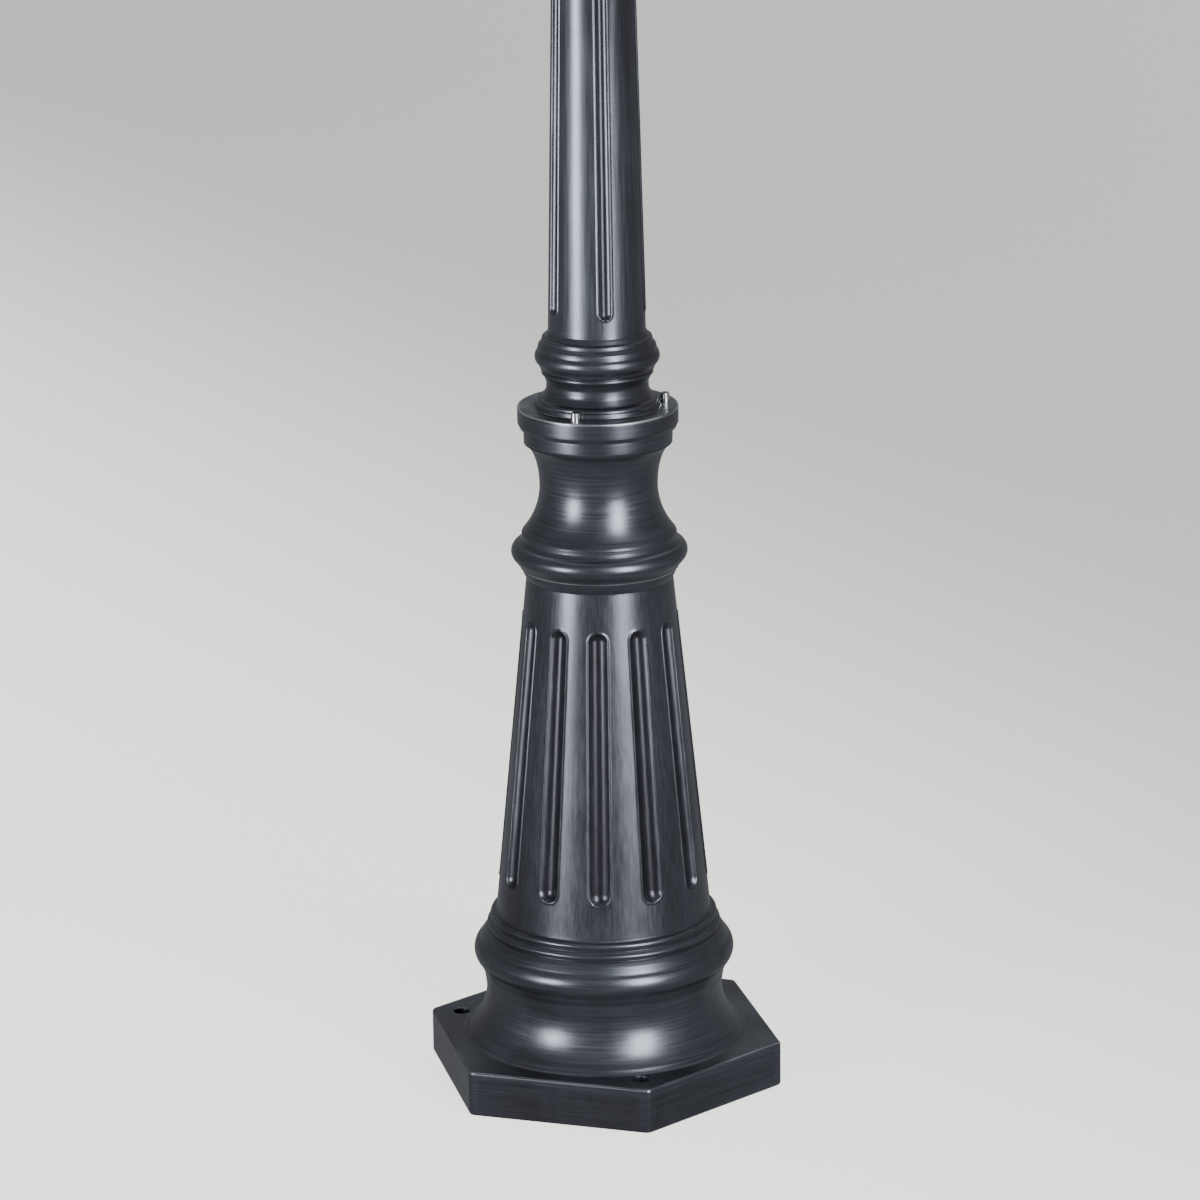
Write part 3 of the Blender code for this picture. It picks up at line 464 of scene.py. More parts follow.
def bright_metal(name, colour, rough, stretch=(300.0, 300.0, 300.0)):
    n = Nodes(name)
    fine = n.noise(stretch, detail=4.0)
    shade = n.mix(n.spread(fine, 0.3, 0.7), tuple(0.72 * c for c in colour), colour)
    n.bump(fine, 0.15, 0.05)
    polish = n.spread(fine, 0.2, 0.8, rough * 0.8, rough * 1.4)
    return n.set(Base_Color=shade, Roughness=polish, Metallic=1.0)


def coating(name, colour, rough, scale=40.0, depth=0.03, variation=0.85, metallic=0.0):
    """Paint, enamel, moulded plastic or rubber: slight mottling, and a fine surface texture."""
    n = Nodes(name)
    broad = n.noise((scale, scale, scale), detail=5.0)
    fine = n.noise((900.0, 900.0, 900.0), detail=2.0)
    shade = n.mix(n.spread(broad, 0.3, 0.7), tuple(variation * c for c in colour), colour)
    n.bump(fine, 0.2, depth)
    polish = n.spread(broad, 0.2, 0.8, rough * 0.85, rough * 1.2)
    return n.set(Base_Color=shade, Roughness=polish, Metallic=metallic)


def window_glass(name):
    n = Nodes(name)
    dust = n.noise((30.0, 30.0, 30.0), detail=6.0)
    return n.set(
        Base_Color=(0.93, 0.965, 0.955),
        Roughness=n.spread(dust, 0.3, 0.8, 0.02, 0.07),
        Transmission_Weight=1.0,
        IOR=1.45,
    )


MATERIALS = {
    "iron_patina": patina("iron_patina", False),
    "head_patina": patina("head_patina", True),
    "steel": bright_metal("stainless", (0.78, 0.78, 0.79), 0.2),
    "brass": bright_metal("turned_brass", (0.80, 0.60, 0.30), 0.26),
    "glass": window_glass("window_glass"),
    "dial": coating("ivory_enamel", (0.82, 0.78, 0.67), 0.35, scale=18.0, variation=0.93),
    "marks": coating("dial_black", (0.015, 0.014, 0.016), 0.4),
    "hands": coating("black_lacquer", (0.018, 0.018, 0.02), 0.32),
    "plastic": coating("moulded_plastic", (0.07, 0.072, 0.08), 0.5, depth=0.08),
    "gasket": coating("black_rubber", (0.025, 0.025, 0.026), 0.75, depth=0.1),
}
for slot_name, obj in ((s["material_slot"], frame["nodes"][s["node"]]) for s in frame["record"]["subparts"]):
    obj.data.materials.clear()
    obj.data.materials.append(MATERIALS[slot_name])


# ---------------------------------------------------------------- the post


def base_outline():
    """The lower casting's section: down its outer side, then up inside."""
    outline = rounded([(44.0, 583.0), (63.4, 583.0, 0.6), (63.4, 573.0, 1.6), (62.6, 570.8)])
    outline += arc((67.0, 533.0), (16.5, 38.0), 103.0, 180.0, 16)
    outline += arc((113.4, 533.0), (63.0, 63.0), 180.0, 220.5, 16)[1:]
    outline += rounded(
        [(65.6, 491.9), (66.4, 490.4, 0.8), (66.3, 486.6, 1.2), (67.6, 484.2, 1.0), (68.6, 483.0)]
    )
    outline += arc((66.2, 474.0), (9.3, 8.8), 72.0, -42.0, 16)
    outline += rounded(
        [(71.6, 466.2), (68.6, 463.0, 1.0), (68.2, 461.0, 0.6), (66.6, 460.0, 0.5), (65.4, 456.0, 4.0)]
    )
    outline += rounded(
        [(64.9, 455.0), (62.9, SHAFT_HIGH, 0.5), (93.2, SHAFT_LOW, 0.8), (94.4, 150.4, 0.5), (95.4, 150.4)]
    )
    outline += arc((95.6, 147.4), (2.9, 3.0), 85.0, -40.0, 10)
    outline += rounded([(97.6, 145.0), (97.5, 143.4, 0.6), (98.7, 142.8, 0.5), (99.4, 141.8)])
    outline += arc((99.0, 139.2), (2.5, 2.6), 78.0, -48.0, 8)
    outline += rounded(
        [(100.5, 137.0), (100.4, 135.6, 0.6), (102.2, 134.8, 0.8), (104.4, 132.0, 2.0), (107.6, 126.8)]
    )
    outline += arc((101.9, 115.2), (11.2, 12.4), 56.0, -48.0, 18)
    outline += rounded([(108.2, 104.6), (104.8, 96.0, 14.0), (102.9, 84.0)])
    outline += arc((152.8, 81.0), (50.0, 50.0), 182.0, 228.0, 16)
    outline += rounded([(119.3, 43.8), (121.2, 41.3, 3.0), (123.8, 39.9), (123.8, 36.0)])
    outline += [(95.0, 36.0), (95.0, 110.0), (82.0, 165.0), (55.0, 450.0), (55.0, 480.0), (44.0, 520.0)]
    return outline


def hexagon(flat, corner_round):
    """Angles and radii round a hexagon with rounded corners, its flats at a distance from its axis."""
    centre = (flat - corner_round) / math.cos(math.pi / 6)
    tangent = math.atan((flat - corner_round) * math.tan(math.pi / 6) / flat)
    on_flat = [np.linspace(0.0, tangent - 0.05, 5), np.linspace(tangent - 0.03, tangent, 2)]
    half = np.concatenate([*on_flat, np.linspace(tangent, math.pi / 6, 8)[1:]])
    off_corner = math.pi / 6 - half
    bend = np.maximum(corner_round**2 - (centre * np.sin(off_corner)) ** 2, 0.0)
    radii = np.where(half <= tangent + 1e-9, flat / np.cos(half), centre * np.cos(off_corner) + np.sqrt(bend))
    one = np.concatenate([-half[:0:-1], half[:-1]])
    one_r = np.concatenate([radii[:0:-1], radii[:-1]])
    angles = np.concatenate([one + i * math.pi / 3 for i in range(6)]) + math.radians(30.0)
    near_corner = np.exp(-(((math.pi / 6 - np.abs(one)) * flat / 3.2) ** 2))
    return angles, np.tile(one_r / flat, 6), np.tile(near_corner, 6)


def foot_plate():
    """The hexagonal plate, scuffed bright along its edges and darkened on its upright faces as painted shade,
    hollow below, with three bossed anchor holes.
    """
    section = rounded(
        [(100.0, FOOT_TOP), (FOOT_FLAT, FOOT_TOP, 2.6), (FOOT_FLAT, 0.0, 3.0), (FOOT_FLAT - 9.0, 0.0, 0.5)]
        + [(FOOT_FLAT - 9.0, FOOT_TOP - 10.0), (100.0, FOOT_TOP - 10.0)]
    )
    points = dense(section + section[:1], 5.0)
    edge = crest(points, 1.6)[:-1]
    points = points[:-1]
    angles, shape, corner = hexagon(FOOT_FLAT, 6.0)
    radius = points[:, :1] * shape[None, :]
    upright = (points[:, 0] > FOOT_FLAT - 0.5).astype(float)
    # Edges are scuffed bright; the upright faces are darkened as painted shade, and scuffed brighter towards
    # their rounded corners.
    wear_and_painted_light = edge[:, None] * 0.75 + (0.42 * corner[None, :] - 0.2) * upright[:, None]
    size = radius.shape
    angle, height = np.broadcast_to(angles, size), np.broadcast_to(points[:, 1:], size)
    plate = grid_mesh(radius, angle, height, wear_and_painted_light, 1.0, True)
    places = [shift(*on_circle(ANCHOR_CIRCLE_R, angle)) for angle in ANCHOR_ANGLES]
    hole = rounded([(0.0, 50.0), (9.0, 50.0), (9.0, 41.0), (7.0, 39.2, 0.5), (7.0, -5.0), (0.0, -5.0)])
    plate = cut(plate, *[moved(lathe(hole, 40, 60.0), place) for place in places])
    boss = [(7.0, 30.5), (15.0, 30.5), (15.0, 0.3), (7.0, 0.3)]
    return joined(plate, *[moved(lathe(boss, 40, 30.0, closed=True), place) for place in places])


def shaft_radius(z):
    return 41.4 - 0.0222 * (z - 668.0)


def shaft_outline():
    """The upper casting's section: down its outer side, then up its bore."""
    outline = rounded([(20.5, 1520.0), (20.5, 1456.0), (shaft_radius(POST_TOP_Z), POST_TOP_Z, 0.5)])
    outline += rounded(
        [(shaft_radius(1440.0), 1440.0), (shaft_radius(POST_FOOT_Z), POST_FOOT_Z, 0.5), (42.8, 665.2, 1.2)]
    )
    outline += rounded(
        [(43.6, 663.2), (44.4, 662.2, 0.6), (46.6, 661.8, 1.0), (47.2, 659.0, 1.2), (47.0, 657.6, 0.6)]
    )
    outline += rounded([(48.2, 656.8), (49.8, 655.0, 1.2), (50.6, 652.0)])
    outline += arc((45.4, 644.6), (7.7, 7.8), 48.0, -46.0, 14)
    outline += rounded([(50.4, 638.6), (49.0, 636.4, 1.4), (48.6, 634.6, 1.0), (46.6, 633.4, 0.9)])
    outline += arc((45.2, 631.2), (2.4, 2.4), 50.0, -60.0, 7)
    outline += rounded(
        [(45.4, 627.8), (43.4, 623.0, 7.0), (43.6, 616.4, 8.0), (47.2, 609.6, 4.0), (49.6, 609.0)]
    )
    outline += rounded(
        [(50.6, 608.8), (51.4, 607.4, 0.8), (51.6, 606.0, 0.6), (52.6, 605.6, 0.5), (53.2, 603.4, 0.8)]
    )
    outline += rounded([(53.4, 602.0), (54.4, 601.4, 0.6), (60.0, 601.3)])
    outline += rounded(
        [(66.0, 601.3), (68.5, 601.3, 1.9), (68.5, 587.2, 1.0), (67.5, 585.4, 0.5), (66.8, 583.4, 0.3)]
    )
    outline += [(43.4, 583.3), (43.4, 562.0), (37.0, 562.0), (37.0, 640.0), (15.0, 1435.0), (15.0, 1520.0)]
    return outline


def stud():
    """A threaded stud's length, with a plain polished end and a hexagon socket in it."""
    pitch, crown, plain = 1.25, 4.0, 8.0
    levels = np.arange(STUD_LENGTH, 0.0, -0.16)
    columns = 40
    angle = np.broadcast_to(np.linspace(0.0, 2 * math.pi, columns, endpoint=False), (len(levels), columns))
    phase = (levels[:, None] / pitch - angle / (2 * math.pi)) % 1.0
    thread = 0.34 * (0.5 + 0.5 * np.cos(2 * math.pi * phase))
    chamfer = 0.6 * (1.0 - np.clip((STUD_LENGTH - levels) / 0.8, 0.0, 1.0))[:, None]
    threaded = np.clip(STUD_LENGTH - plain - levels, 0.0, 1.0)[:, None]
    radius = (crown - chamfer - thread * threaded) * np.ones_like(angle)
    height = np.broadcast_to(levels[:, None], angle.shape)
    pole = np.zeros((1, columns))
    radius = np.vstack([pole, radius[:1] * 0.9, radius, pole])
    height = np.vstack([height[:1], height[:1], height, height[-1:]])
    angle = np.vstack([angle[:1], angle[:1], angle, angle[:1]])
    body = grid_mesh(radius, angle, height, 0.3, 1.0, False)
    return cut(body, rod(2.3, STUD_LENGTH - 4.5, STUD_LENGTH + 5.0, 6, 0.0))


def make_post():
    # The last entry of each row gives the heights of a bright line, partly scuffing and partly a painted
    # highlight: the collar's lip here, the flange's top edge below.
    shaft, ends, widths, lit_scuff_heights = (SHAFT_LOW, SHAFT_HIGH), (182.0, 418.0), (17.4, 15.2), (461.0,)
    flutes = fluted(base_outline(), shaft, 12, 15.0, ends, widths, 5.0, 0.75, lit_scuff_heights)
    name = "iron_patina"
    piece("lower_casting", joined(flutes, foot_plate()), "post", name, MATERIALS[name], "base_casting")
    shaft, ends, widths, lit_scuff_heights = (POST_FOOT_Z, POST_TOP_Z), (684.0, 1425.0), (10.6, 7.8), (600.7,)
    upper = fluted(shaft_outline(), shaft, 5, SHAFT_FLUTE_TURN, ends, widths, 3.3, 0.7, lit_scuff_heights)
    piece("upper_casting", upper, "post", name, MATERIALS[name], "shaft_casting")
    for i in range(3):
        place = shift(*on_circle(STUD_CIRCLE_R, STUD_TURN - 90.0 + 120.0 * i), STUD_LOW)
        mesh = moved(stud(), place)
        piece(f"stud_{i + 1}", mesh, "post", "steel", MATERIALS["steel"], f"joint_stud_{i + 1}")


# ---------------------------------------------------------------- the clock head


def socket_outline():
    """The socket's section: down its outer side, then up its bore."""
    outline = rounded(
        [(9.0, 1592.0), (46.0, 1592.0, 0.8), (46.0, 1586.2, 1.2), (44.6, 1583.8, 0.8), (44.3, 1582.0)]
    )
    outline += arc((47.0, 1547.0), (21.4, 35.0), 97.0, 180.0, 20)
    outline += rounded(
        [(25.6, 1546.0), (26.0, 1538.4, 5.0), (29.8, 1534.6, 1.5), (30.4, 1533.0, 0.8), (30.8, 1530.2)]
    )
    outline += arc((30.0, 1519.0), (10.5, 10.5), 72.0, -74.0, 18)
    outline += rounded(
        [(32.2, 1508.2), (31.6, 1505.8, 0.8), (31.6, 1477.2, 1.0), (33.4, 1474.8, 1.0), (33.7, 1472.6)]
    )
    outline += arc((31.0, 1466.5), (6.0, 6.0), 62.0, -62.0, 12)
    outline += rounded([(32.2, 1460.0), (31.2, 1457.8, 0.8), (30.2, 1455.3)])
    outline += [(20.8, 1455.3), (20.8, 1521.0), (9.0, 1521.0)]
    return outline


def finial_outline():
    """The finial's outer side, tip to seat, and its stud."""
    outline = arc((0.0, 2101.4), (1.9, 2.6), 90.0, 8.0, 6)
    outline += rounded(
        [(2.0, 2100.4), (3.2, 2088.0, 50.0), (5.4, 2072.0, 22.0), (9.4, 2065.2, 2.0), (10.2, 2064.8)]
    )
    outline += rounded([(10.2, 2064.8), (10.9, 2063.2, 0.8), (10.2, 2061.0, 0.8), (9.6, 2059.4)])
    outline += arc((0.0, 2040.0), (21.0, 21.0), 63.0, -62.0, 30)
    outline += rounded(
        [(10.2, 2020.4), (12.4, 2018.8, 1.0), (13.7, 2016.4, 1.4), (12.4, 2013.6, 1.4), (9.9, 2012.6)]
    )
    outline += rounded(
        [(9.8, 2012.4), (8.2, 2001.6, 12.0), (11.6, 1991.6, 12.0), (18.8, 1988.0, 3.0), (21.2, 1987.2)]
    )
    outline += arc((19.8, 1983.9), (3.6, 3.0), 62.0, -62.0, 12)
    outline += rounded(
        [(20.8, 1980.6), (20.4, 1979.2, 0.6), (20.6, 1975.3, 0.4), (5.0, 1975.3), (5.0, 1966.0, 0.6)]
    )
    return outline + [(0.0, 1966.0)]


def drum_outline():
    """The drum's section, its axis up: two beads, and a band between fine grooves."""
    half = DRUM_HALF
    upper = [(160.0, half), (183.0, half, 1.4), (183.0, half - 6.4, 1.6), (180.6, half - 8.0, 0.6)]
    upper += [(179.0, half - 8.8, 0.5), (179.0, half - 10.4, 0.5), (180.0, half - 11.2, 1.2)]
    upper += [(180.0, half - 15.2, 1.2), (178.8, half - 16.0, 0.5)]
    upper += [(178.8, half - 17.0, 0.5), (179.6, half - 18.0, 0.5), (179.6, 15.6, 0.5), (178.6, 15.0, 0.4)]
    upper += [(178.6, 14.0, 0.4), (180.0, 13.2, 0.7)]
    lower = [(r, -z, *fillet) for r, z, *fillet in reversed(upper[1:])] + [(160.0, -half)]
    wall = 4.0
    bore, floor = 180.0 - wall, half - wall
    inner = [(160.0, -floor), (bore, -floor), (bore, floor), (160.0, floor)]
    return rounded(upper + lower) + inner


def bezel_outline():
    """The bezel's section: x is the radius, y the distance outwards."""
    outline = rounded([(156.0, 16.5), (156.0, 20.2, 0.7), (157.0, 21.0, 0.5), (158.4, 21.2)])
    outline += arc((163.0, 18.6), (5.3, 5.3), 150.0, 25.0, 18)
    outline += rounded([(168.2, 19.6), (168.8, 18.5, 0.6), (170.6, 17.9)])
    outline += arc((169.6, 4.2), (15.8, 13.7), 85.0, 14.0, 22)
    outline += rounded([(185.3, 6.9), (186.5, 6.5, 0.4), (188.0, 5.9, 0.9), (188.0, 1.6, 0.8), (187.0, 0.6)])
    return outline + [(168.0, 0.6), (168.0, 5.0), (163.0, 5.0), (163.0, 16.5)]


def slab(outline, low, high, edge=0.25, wear_and_painted_light=0.3):
    """A plate from an (x, z) outline, between two distances outwards, with rounded rims."""
    points = np.array(outline)
    following = np.roll(points, -1, axis=0)
    if (points[:, 0] * following[:, 1] - following[:, 0] * points[:, 1]).sum() < 0:
        points = points[::-1]
        following = np.roll(points, -1, axis=0)
    along = following - points
    along /= np.linalg.norm(along, axis=1, keepdims=True)
    side = np.stack([along[:, 1], -along[:, 0]], axis=1)
    before = np.roll(side, 1, axis=0)
    mitre = (side + before) / (1.0 + (side * before).sum(axis=1, keepdims=True))
    bends = [(edge * (1 - math.sin(a)), edge * (1 - math.cos(a))) for a in np.radians([0, 30, 60, 90])]
    levels = [(inset, low + rise) for inset, rise in bends]
    levels += [(inset, high - rise) for inset, rise in reversed(bends)]
    verts = []
    for inset, y in levels:
        ring = points - inset * mitre
        verts += [(x * MM, y * MM, z * MM) for x, z in ring]
    count = len(points)
    faces = [list(range(count)), list(range(count * (len(levels) - 1), count * len(levels)))]
    for k in range(len(levels) - 1):
        for i in range(count):
            j = (i + 1) % count
            faces.append([k * count + i, k * count + j, (k + 1) * count + j, (k + 1) * count + i])
    mesh = bpy.data.meshes.new("slab")
    mesh.from_pydata(verts, [], faces)
    layer = mesh.attributes.new("wear_and_painted_light", "FLOAT", "POINT")
    layer.data.foreach_set("value", np.full(len(verts), wear_and_painted_light, np.float32))
    return tidy(mesh)


def face_frame(back):
    """From a face's own frame to the world: x to a reader's right, y outwards from the drum's end, z up."""
    flip = turn(180.0) if back else Matrix.Identity(4)
    return flip @ shift(z=DRUM_Z) @ Matrix.Diagonal((1.0, -1.0, 1.0, 1.0)) @ shift(y=DRUM_HALF)


FACING = Matrix.Rotation(math.radians(-90.0), 4, "X")  # what was made about +Z then looks outwards


def barrel(low, high):
    """A length of hinge barrel, bored for its pin."""
    bore, radius = PIN_R + 0.3, 5.0
    section = [(bore, (low + high) / 2), (bore, high, 0.3), (radius, high, 0.7), (radius, low, 0.7)]
    section = rounded(section + [(bore, low, 0.3)])
    return moved(lathe(section, 48, 30.0, closed=True), shift(HINGE_X, HINGE_D))


def make_socket():
    body = lathe(socket_outline(), 112, 2.2, closed=True)
    places = [shift(z=1487.0) @ turn(90.0 + 120.0 * i) @ turn(90.0, "Y") for i in range(3)]
    hole = rounded([(0.0, 45.0), (4.2, 45.0), (4.2, 32.0, 0.2), (3.3, 31.1, 0.2), (3.3, 15.0), (0.0, 15.0)])
    body = cut(body, *[moved(lathe(hole, 40, 60.0), place) for place in places])
    piece("clock_socket", body, "post", "head_patina", MATERIALS["head_patina"], "head_socket")
    for i, place in enumerate(places, 1):
        screw = cut(rod(3.0, 20.8, 33.0, 40, 0.5), rod(1.75, 29.5, 36.0, 6, 0.0))
        screw = moved(screw, place)
        piece(f"clamp_screw_{i}", screw, "post", "steel", MATERIALS["steel"], f"socket_screw_{i}")


def make_drum():
    """The drum with its foot pad, the finial's seat, and for each face two hinge knuckles and a strike."""
    shell = moved(lathe(drum_outline(), 224, 3.0, closed=True, ring=0.0), shift(z=DRUM_Z) @ turn(90.0, "X"))
    pad = [(9.0, 1600.0), (9.0, 1592.3, 0.3), (46.0, 1592.3, 0.9), (46.0, 1597.6, 1.0), (44.2, 1598.8, 0.5)]
    pad += [(42.6, 1603.0, 5.0), (44.6, 1609.0, 4.0), (46.0, 1614.0), (46.0, 1620.0, 0.8), (9.0, 1620.0)]
    seat = [(5.3, 1968.0), (5.3, 1975.0, 0.3), (22.4, 1975.0, 0.9), (23.0, 1973.4, 0.5), (24.0, 1972.4, 0.8)]
    seat += [(24.0, 1960.0), (5.3, 1960.0)]
    parts = [shell] + [lathe(rounded(outline[::-1]), 96, 3.0, closed=True) for outline in (pad, seat)]
    for back in (False, True):
        frame_of_face = face_frame(back)
        for low, high in ((12.0, 26.0), (-26.0, -12.0)):
            lug = block((HINGE_X + 1.5, -7.0, low), (-177.5, -0.6, high), 1.2)
            parts += [moved(barrel(low, high), frame_of_face), moved(lug, frame_of_face)]
        parts.append(moved(block((174.0, -3.4, -8.0), (190.5, -0.5, 8.0), 0.6), frame_of_face))
    piece("drum", joined(*parts), "post", "head_patina", MATERIALS["head_patina"], "drum_casing")
    spire = lathe(finial_outline(), 80, 1.6)
    piece("spire", spire, "post", "head_patina", MATERIALS["head_patina"], "finial")


# A numeral's width, and its strokes: place at the foot, place at the head, width, serif at the foot
STROKES = {
    "I": (5.0, [(2.5, 2.5, 4.8, True)]),
    "V": (15.0, [(7.6, 3.0, 4.8, False), (8.2, 12.8, 1.6, False)]),
    "X": (15.0, [(12.0, 3.0, 4.8, True), (3.0, 12.0, 1.6, True)]),
}
NUMERALS = ("XII", "I", "II", "III", "IIII", "V", "VI", "VII", "VIII", "IX", "X", "XI")
NUMERAL_R = (101.0, 131.0)
TRACK_R = (137.4, 148.6)
DIAL_FACE = 2.3
DIAL_SCREW_CIRCLE_R = 162.5


def numeral(text):
    """A Roman numeral's strokes, narrowing towards the dial's centre."""
    low, high = NUMERAL_R
    gap, serif, serif_reach = 3.0, 1.1, 1.7
    x = -(sum(STROKES[letter][0] for letter in text) + gap * (len(text) - 1)) / 2
    shapes = []
    for letter in text:
        width, strokes = STROKES[letter]
        for foot, head, thick, footed in strokes:
            a, b, w = x + foot, x + head, thick / 2
            shapes.append([(a - w, low), (a + w, low), (b + w, high), (b - w, high)])
            ends = [(b, high - serif, high)] + ([(a, low, low + serif)] if footed else [])
            for c, z0, z1 in ends:
                left, right = c - w - serif_reach, c + w + serif_reach
                shapes.append([(left, z0), (right, z0), (right, z1), (left, z1)])
        x += width + gap
    middle = (low + high) / 2
    heights = (0.30, 0.26)
    meshes = []
    for k, shape in enumerate(shapes):
        narrowed = [(px * pz / middle, pz) for px, pz in shape]
        meshes.append(slab(narrowed, DIAL_FACE - 0.1, DIAL_FACE + heights[k % 2] - 0.01 * (k // 2), 0.06))
    return meshes


def dial_marks():
    """Hour numerals, and the minute track between two rings."""
    meshes = []
    for hour, text in enumerate(NUMERALS):
        meshes += [moved(mesh, turn(30.0 * hour, "Y")) for mesh in numeral(text)]
    inner, outer = TRACK_R
    for minute in range(60):
        half = 1.7 if minute % 5 == 0 else 0.5
        tick = [(-half, inner), (half, inner), (half, outer), (-half, outer)]
        meshes.append(moved(slab(tick, DIAL_FACE - 0.1, DIAL_FACE + 0.24, 0.06), turn(6.0 * minute, "Y")))
    for radius, width in ((96.0, 0.9), (inner - 0.8, 0.9), (outer, 1.3)):
        low, high = DIAL_FACE - 0.1, DIAL_FACE + 0.28
        ring = [(radius, low), (radius, high), (radius + width, high), (radius + width, low)]
        meshes.append(moved(lathe(ring, 180, 3.0, closed=True), FACING))
    return joined(*meshes)


def hand_outline(length, width, tail, hub):
    """A spade hand pointing to twelve: a hub, a tapering blade with a leaf, and a round-ended tail."""
    stem = [(width * 0.5, hub * 0.92), (width * 0.34, length * 0.58, 30.0), (width * 0.42, length * 0.61)]
    stem = rounded(stem)
    leaf = [stem[-1], (width * 1.15, length * 0.72, width), (width * 0.5, length * 0.84, width * 3)]
    right = stem[:-1] + rounded(leaf + [(width * 0.16, length * 0.93)]) + [(0.0, length)]
    left = [(-x, z) for x, z in reversed(right[:-1])]
    hub_left = arc((0.0, 0.0), (hub, hub), 113.0, 247.0, 20)
    hub_right = arc((0.0, 0.0), (hub, hub), -67.0, 67.0, 20)
    tail_end = arc((0.0, -tail), (width * 0.85, width * 0.85), 150.0, 390.0, 18)
    neck = width * 0.42, -hub * 1.1
    tail_shape = [(-neck[0], neck[1])] + tail_end + [neck]
    return right + left + hub_left + tail_shape + hub_right


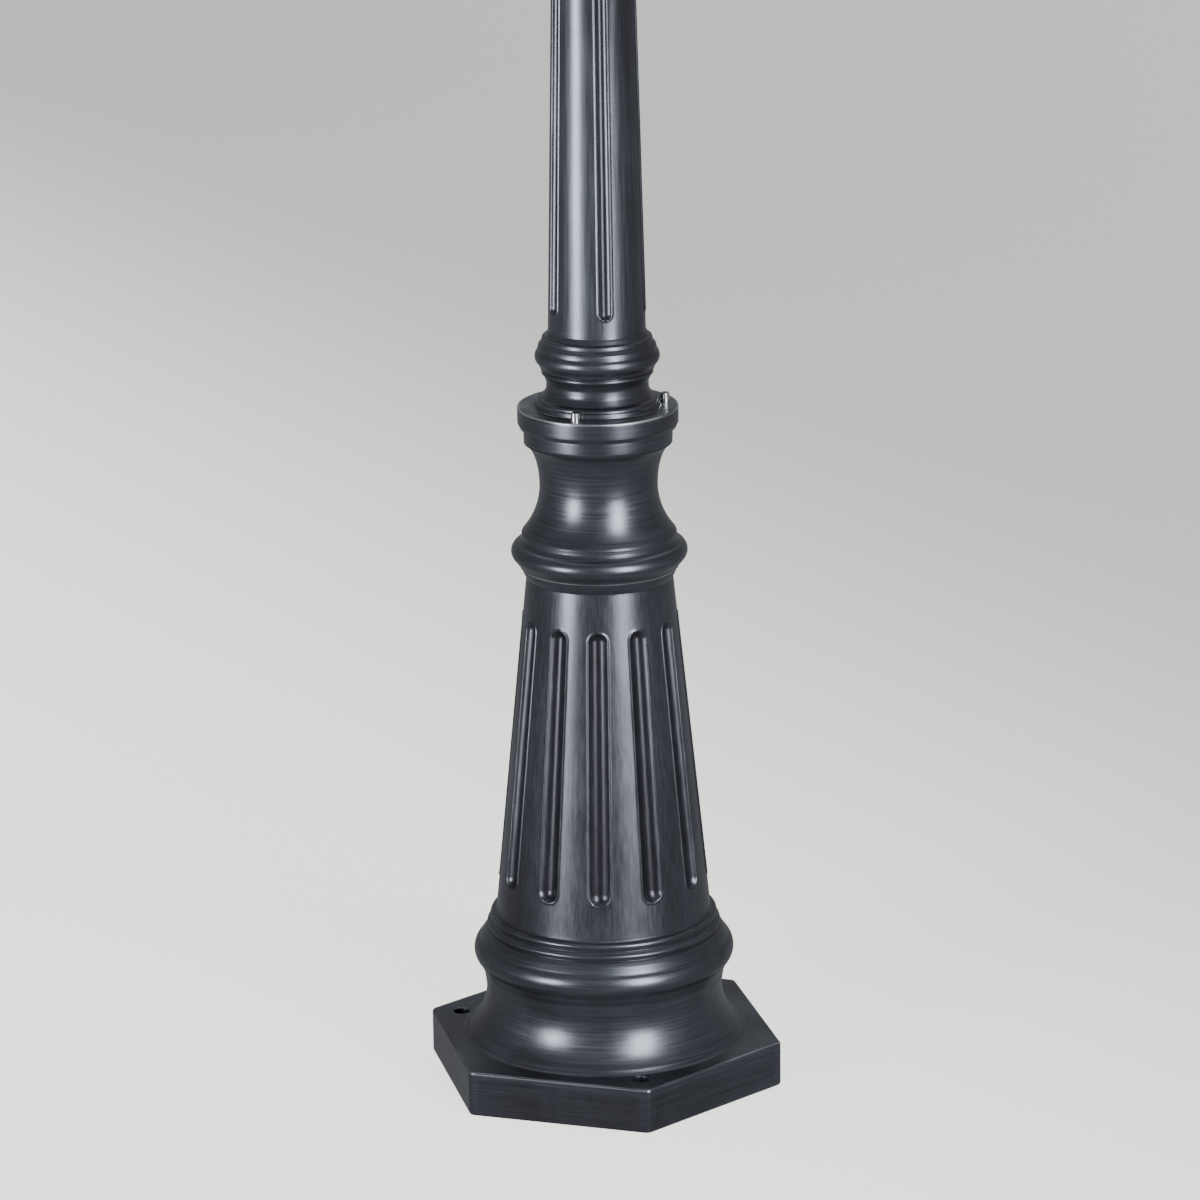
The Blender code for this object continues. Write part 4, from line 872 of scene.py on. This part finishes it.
def make_face(tag, back):
    place = face_frame(back)
    outwards = place @ FACING
    door, latch, hour, minute = (f"{tag}_{name}" for name in ("door", "latch", "hour", "minute"))

    def add(name, mesh, body, slot, *nodes, matrix=place):
        piece(f"{name}_{tag}", moved(mesh, matrix), body, slot, MATERIALS[slot], *nodes)

    ring = moved(lathe(bezel_outline(), 224, 1.6, closed=True, ring=0.0), FACING)
    lug = block((HINGE_X + 1.5, 0.8, -11.5), (-184.5, 6.4, 11.5), 1.2)
    ear = [(184.0, 8.6), (190.0, 8.6)] + arc((LATCH_X, 0.0), (8.0, 8.0), 78.0, -78.0, 20)
    ear += [(190.0, -8.6), (184.0, -8.6)]
    ear = cut(slab(ear, 0.8, 9.0, 0.7), moved(rod(5.3, -5.0, 15.0, 48, 0.0), shift(LATCH_X) @ FACING))
    add("bezel_ring", joined(ring, barrel(-11.5, 11.5), lug, ear), door, "head_patina", f"bezel_{tag}")
    pane = rounded([(0.0, 16.2), (162.5, 16.2, 0.4), (162.5, 12.2, 0.4), (0.0, 12.2)])
    add("pane", lathe(pane, 160, 40.0), door, "glass", f"glass_{tag}", matrix=outwards)
    seal = rounded(
        [(157.0, 10.0), (157.0, 11.9, 0.8), (162.5, 11.9, 0.3), (162.5, 8.2, 0.6), (157.0, 8.2, 0.8)]
    )
    add("seal", lathe(seal, 160, 3.0, closed=True), door, "gasket", f"glass_retainer_{tag}", matrix=outwards)

    plate = rounded([(8.0, 1.2), (8.0, 2.3, 0.2), (166.0, 2.3, 0.8), (166.0, 0.3, 0.3), (8.0, 0.3, 0.2)])
    plate = lathe(plate, 160, 30.0, closed=True)
    screw_places = [on_circle(DIAL_SCREW_CIRCLE_R, angle) for angle in (41.0, 161.0, 281.0)]
    screw_places = [FACING @ shift(x, -y) for x, y in screw_places]
    add("dial_plate", moved(plate, FACING), "post", "dial", f"dial_{tag}")
    for i, screw_place in enumerate(screw_places, 1):
        head = [(0.0, 4.6), (1.9, 4.4, 1.0), (2.8, 3.2, 0.3), (2.8, 2.6, 0.1), (1.5, 2.6), (1.5, -6.0, 0.3)]
        head = rounded(head + [(0.0, -6.0)])
        screw = cut(lathe(head, 40, 30.0), block((-4.0, -0.35, 3.7), (4.0, 0.35, 6.0), 0.0))
        add(f"dial_fixing_{i}", moved(screw, screw_place), "post", "steel", f"dial_screw_{tag}_{i}")
    marks = moved(dial_marks(), place)
    piece(f"dial_marks_{tag}", marks, "post", "hands", MATERIALS["marks"])

    pipe = rounded([(3.3, 0.0), (3.3, 6.4, 0.2), (5.0, 6.4, 0.3), (5.0, -7.0, 0.3), (3.3, -7.0, 0.2)])
    add("pipe", lathe(pipe, 48, 30.0, closed=True), hour, "brass", f"hour_pipe_{tag}", matrix=outwards)
    add("arbor", rod(3.0, -19.0, 10.4, 40), minute, "steel", f"minute_arbor_{tag}", matrix=outwards)
    hands = (
        ("hour_pointer", hour, f"hour_hand_{tag}", (92.0, 9.0, 24.0, 12.0), (5.2, 6.4), 5.3, 305.0),
        ("minute_pointer", minute, f"minute_hand_{tag}", (134.0, 7.0, 36.0, 10.0), (7.8, 8.8), 3.3, 60.0),
    )
    for name, body, node, sizes, depth, bore, angle in hands:
        hand = cut(slab(hand_outline(*sizes), *depth, 0.25), moved(rod(bore, -5.0, 15.0, 48, 0.0), FACING))
        add(name, moved(hand, turn(angle, "Y")), body, "hands", node)
    cap = [(0.0, 11.6), (2.4, 11.5, 3.0), (4.6, 10.9, 1.2), (5.2, 9.9, 0.4), (5.2, 9.1, 0.2), (3.3, 9.1)]
    cap = rounded(cap + [(3.3, 10.6)])
    add("cap_nut", lathe(cap + [(0.0, 10.6)], 48, 3.0), minute, "brass", f"hand_nut_{tag}", matrix=outwards)

    pin = [(0.0, 29.4), (2.6, 29.0, 1.0), (3.8, 27.8, 0.6), (3.8, 26.3, 0.2), (2.5, 26.3)]
    pin = rounded(pin + [(2.5, -27.4, 0.4), (1.8, -28.0, 0.3), (0.0, -28.0)])
    add("pin", moved(lathe(pin, 40, 30.0), shift(HINGE_X, HINGE_D)), "post", "steel", f"hinge_pin_{tag}")
    head = [(0.0, 12.6), (6.5, 12.6, 0.5), (7.5, 11.6, 0.4), (7.5, 9.3, 0.3), (5.0, 9.3), (5.0, -7.4, 0.5)]
    head = rounded(head + [(0.0, -7.4)])
    key = cut(lathe(head, 56, 30.0), block((-0.8, -5.2, 11.0), (0.8, 5.2, 15.0), 0.0))
    cam = block((-4.5, -11.5, -7.9), (4.5, 2.0, -5.0), 0.5)
    add("key", moved(joined(key, cam), shift(LATCH_X) @ FACING), latch, "steel", f"latch_{tag}")


def make_head():
    make_socket()
    make_drum()
    make_face("front", False)
    make_face("back", True)


# ---------------------------------------------------------------- stage, lights, camera


def make_stage():
    n = Nodes("studio_floor")
    place = n.node("ShaderNodeTexCoord").outputs["Object"]
    parts = n.node("ShaderNodeSeparateXYZ")
    n.put(place, parts.inputs[0])
    # The floor glows brighter near the post and to its left, fading far off: painted light standing in for
    # the lamps' fall-off.
    away = n.math("ADD", parts.outputs["Y"], n.math("MULTIPLY", parts.outputs["X"], 1.8))
    glow = n.math("ADD", n.spread(away, -0.6, 3.0, 1.75, 0.6), n.spread(away, 3.0, 8.0, 0.0, 0.08))
    n.set(Base_Color=(0.33, 0.333, 0.32), Roughness=0.95)
    n.set(Emission_Color=(1.0, 1.0, 0.965), Emission_Strength=glow)
    mesh = bpy.data.meshes.new("floor")
    side = 30.0
    corners = [(-side, -side, 0), (side, -side, 0), (side, side, 0), (-side, side, 0)]
    mesh.from_pydata(corners, [], [(0, 1, 2, 3)])
    floor = bpy.data.objects.new("floor", mesh)
    floor.data.materials.append(n.material)
    floor.rotation_euler.z = math.radians(CAMERA_AZIMUTH)
    floor.visible_glossy = False
    bpy.context.scene.collection.objects.link(floor)


def softbox(name, azimuth, distance, height, size, power, target=(0.0, 0.0, 0.9)):
    """An area light at an azimuth measured from the camera's, facing the post."""
    light = bpy.data.lights.new(name, "AREA")
    light.shape = "RECTANGLE"
    light.size, light.size_y = size
    light.energy = power
    obj = bpy.data.objects.new(name, light)
    bpy.context.scene.collection.objects.link(obj)
    angle = math.radians(azimuth + CAMERA_AZIMUTH)
    obj.location = (distance * math.sin(angle), -distance * math.cos(angle), height)
    aim = Vector(target) - obj.location
    obj.rotation_euler = aim.to_track_quat("-Z", "Y").to_euler()


def make_lights():
    softbox("softbox_left", -48.0, 2.3, 0.62, (0.62, 1.0), 54.0)
    softbox("softbox_right", 34.5, 2.3, 1.15, (0.8, 1.9), 98.0)
    softbox("overhead", 180.0, 1.5, 4.2, (4.0, 4.0), 60.0)
    world = bpy.data.worlds.new("studio")
    world.use_nodes = True
    world.node_tree.nodes["Background"].inputs["Color"].default_value = (0.93, 0.96, 1.0, 1.0)
    world.node_tree.nodes["Background"].inputs["Strength"].default_value = 0.27
    bpy.context.scene.world = world


def make_camera():
    camera = bpy.data.objects.new("camera", bpy.data.cameras.new("camera"))
    bpy.context.scene.collection.objects.link(camera)
    camera.data.lens = CAMERA_LENS
    camera.data.sensor_width = 36.0
    angle = math.radians(CAMERA_AZIMUTH)
    x, y = CAMERA_DISTANCE * math.sin(angle), -CAMERA_DISTANCE * math.cos(angle)
    place = Matrix.Translation((x, y, CAMERA_HEIGHT))
    camera.matrix_world = place @ turn(CAMERA_AZIMUTH) @ turn(90.0 - CAMERA_PITCH, "X") @ turn(CAMERA_ROLL)
    bpy.context.scene.camera = camera


make_post()
make_head()
make_stage()
make_lights()
make_camera()
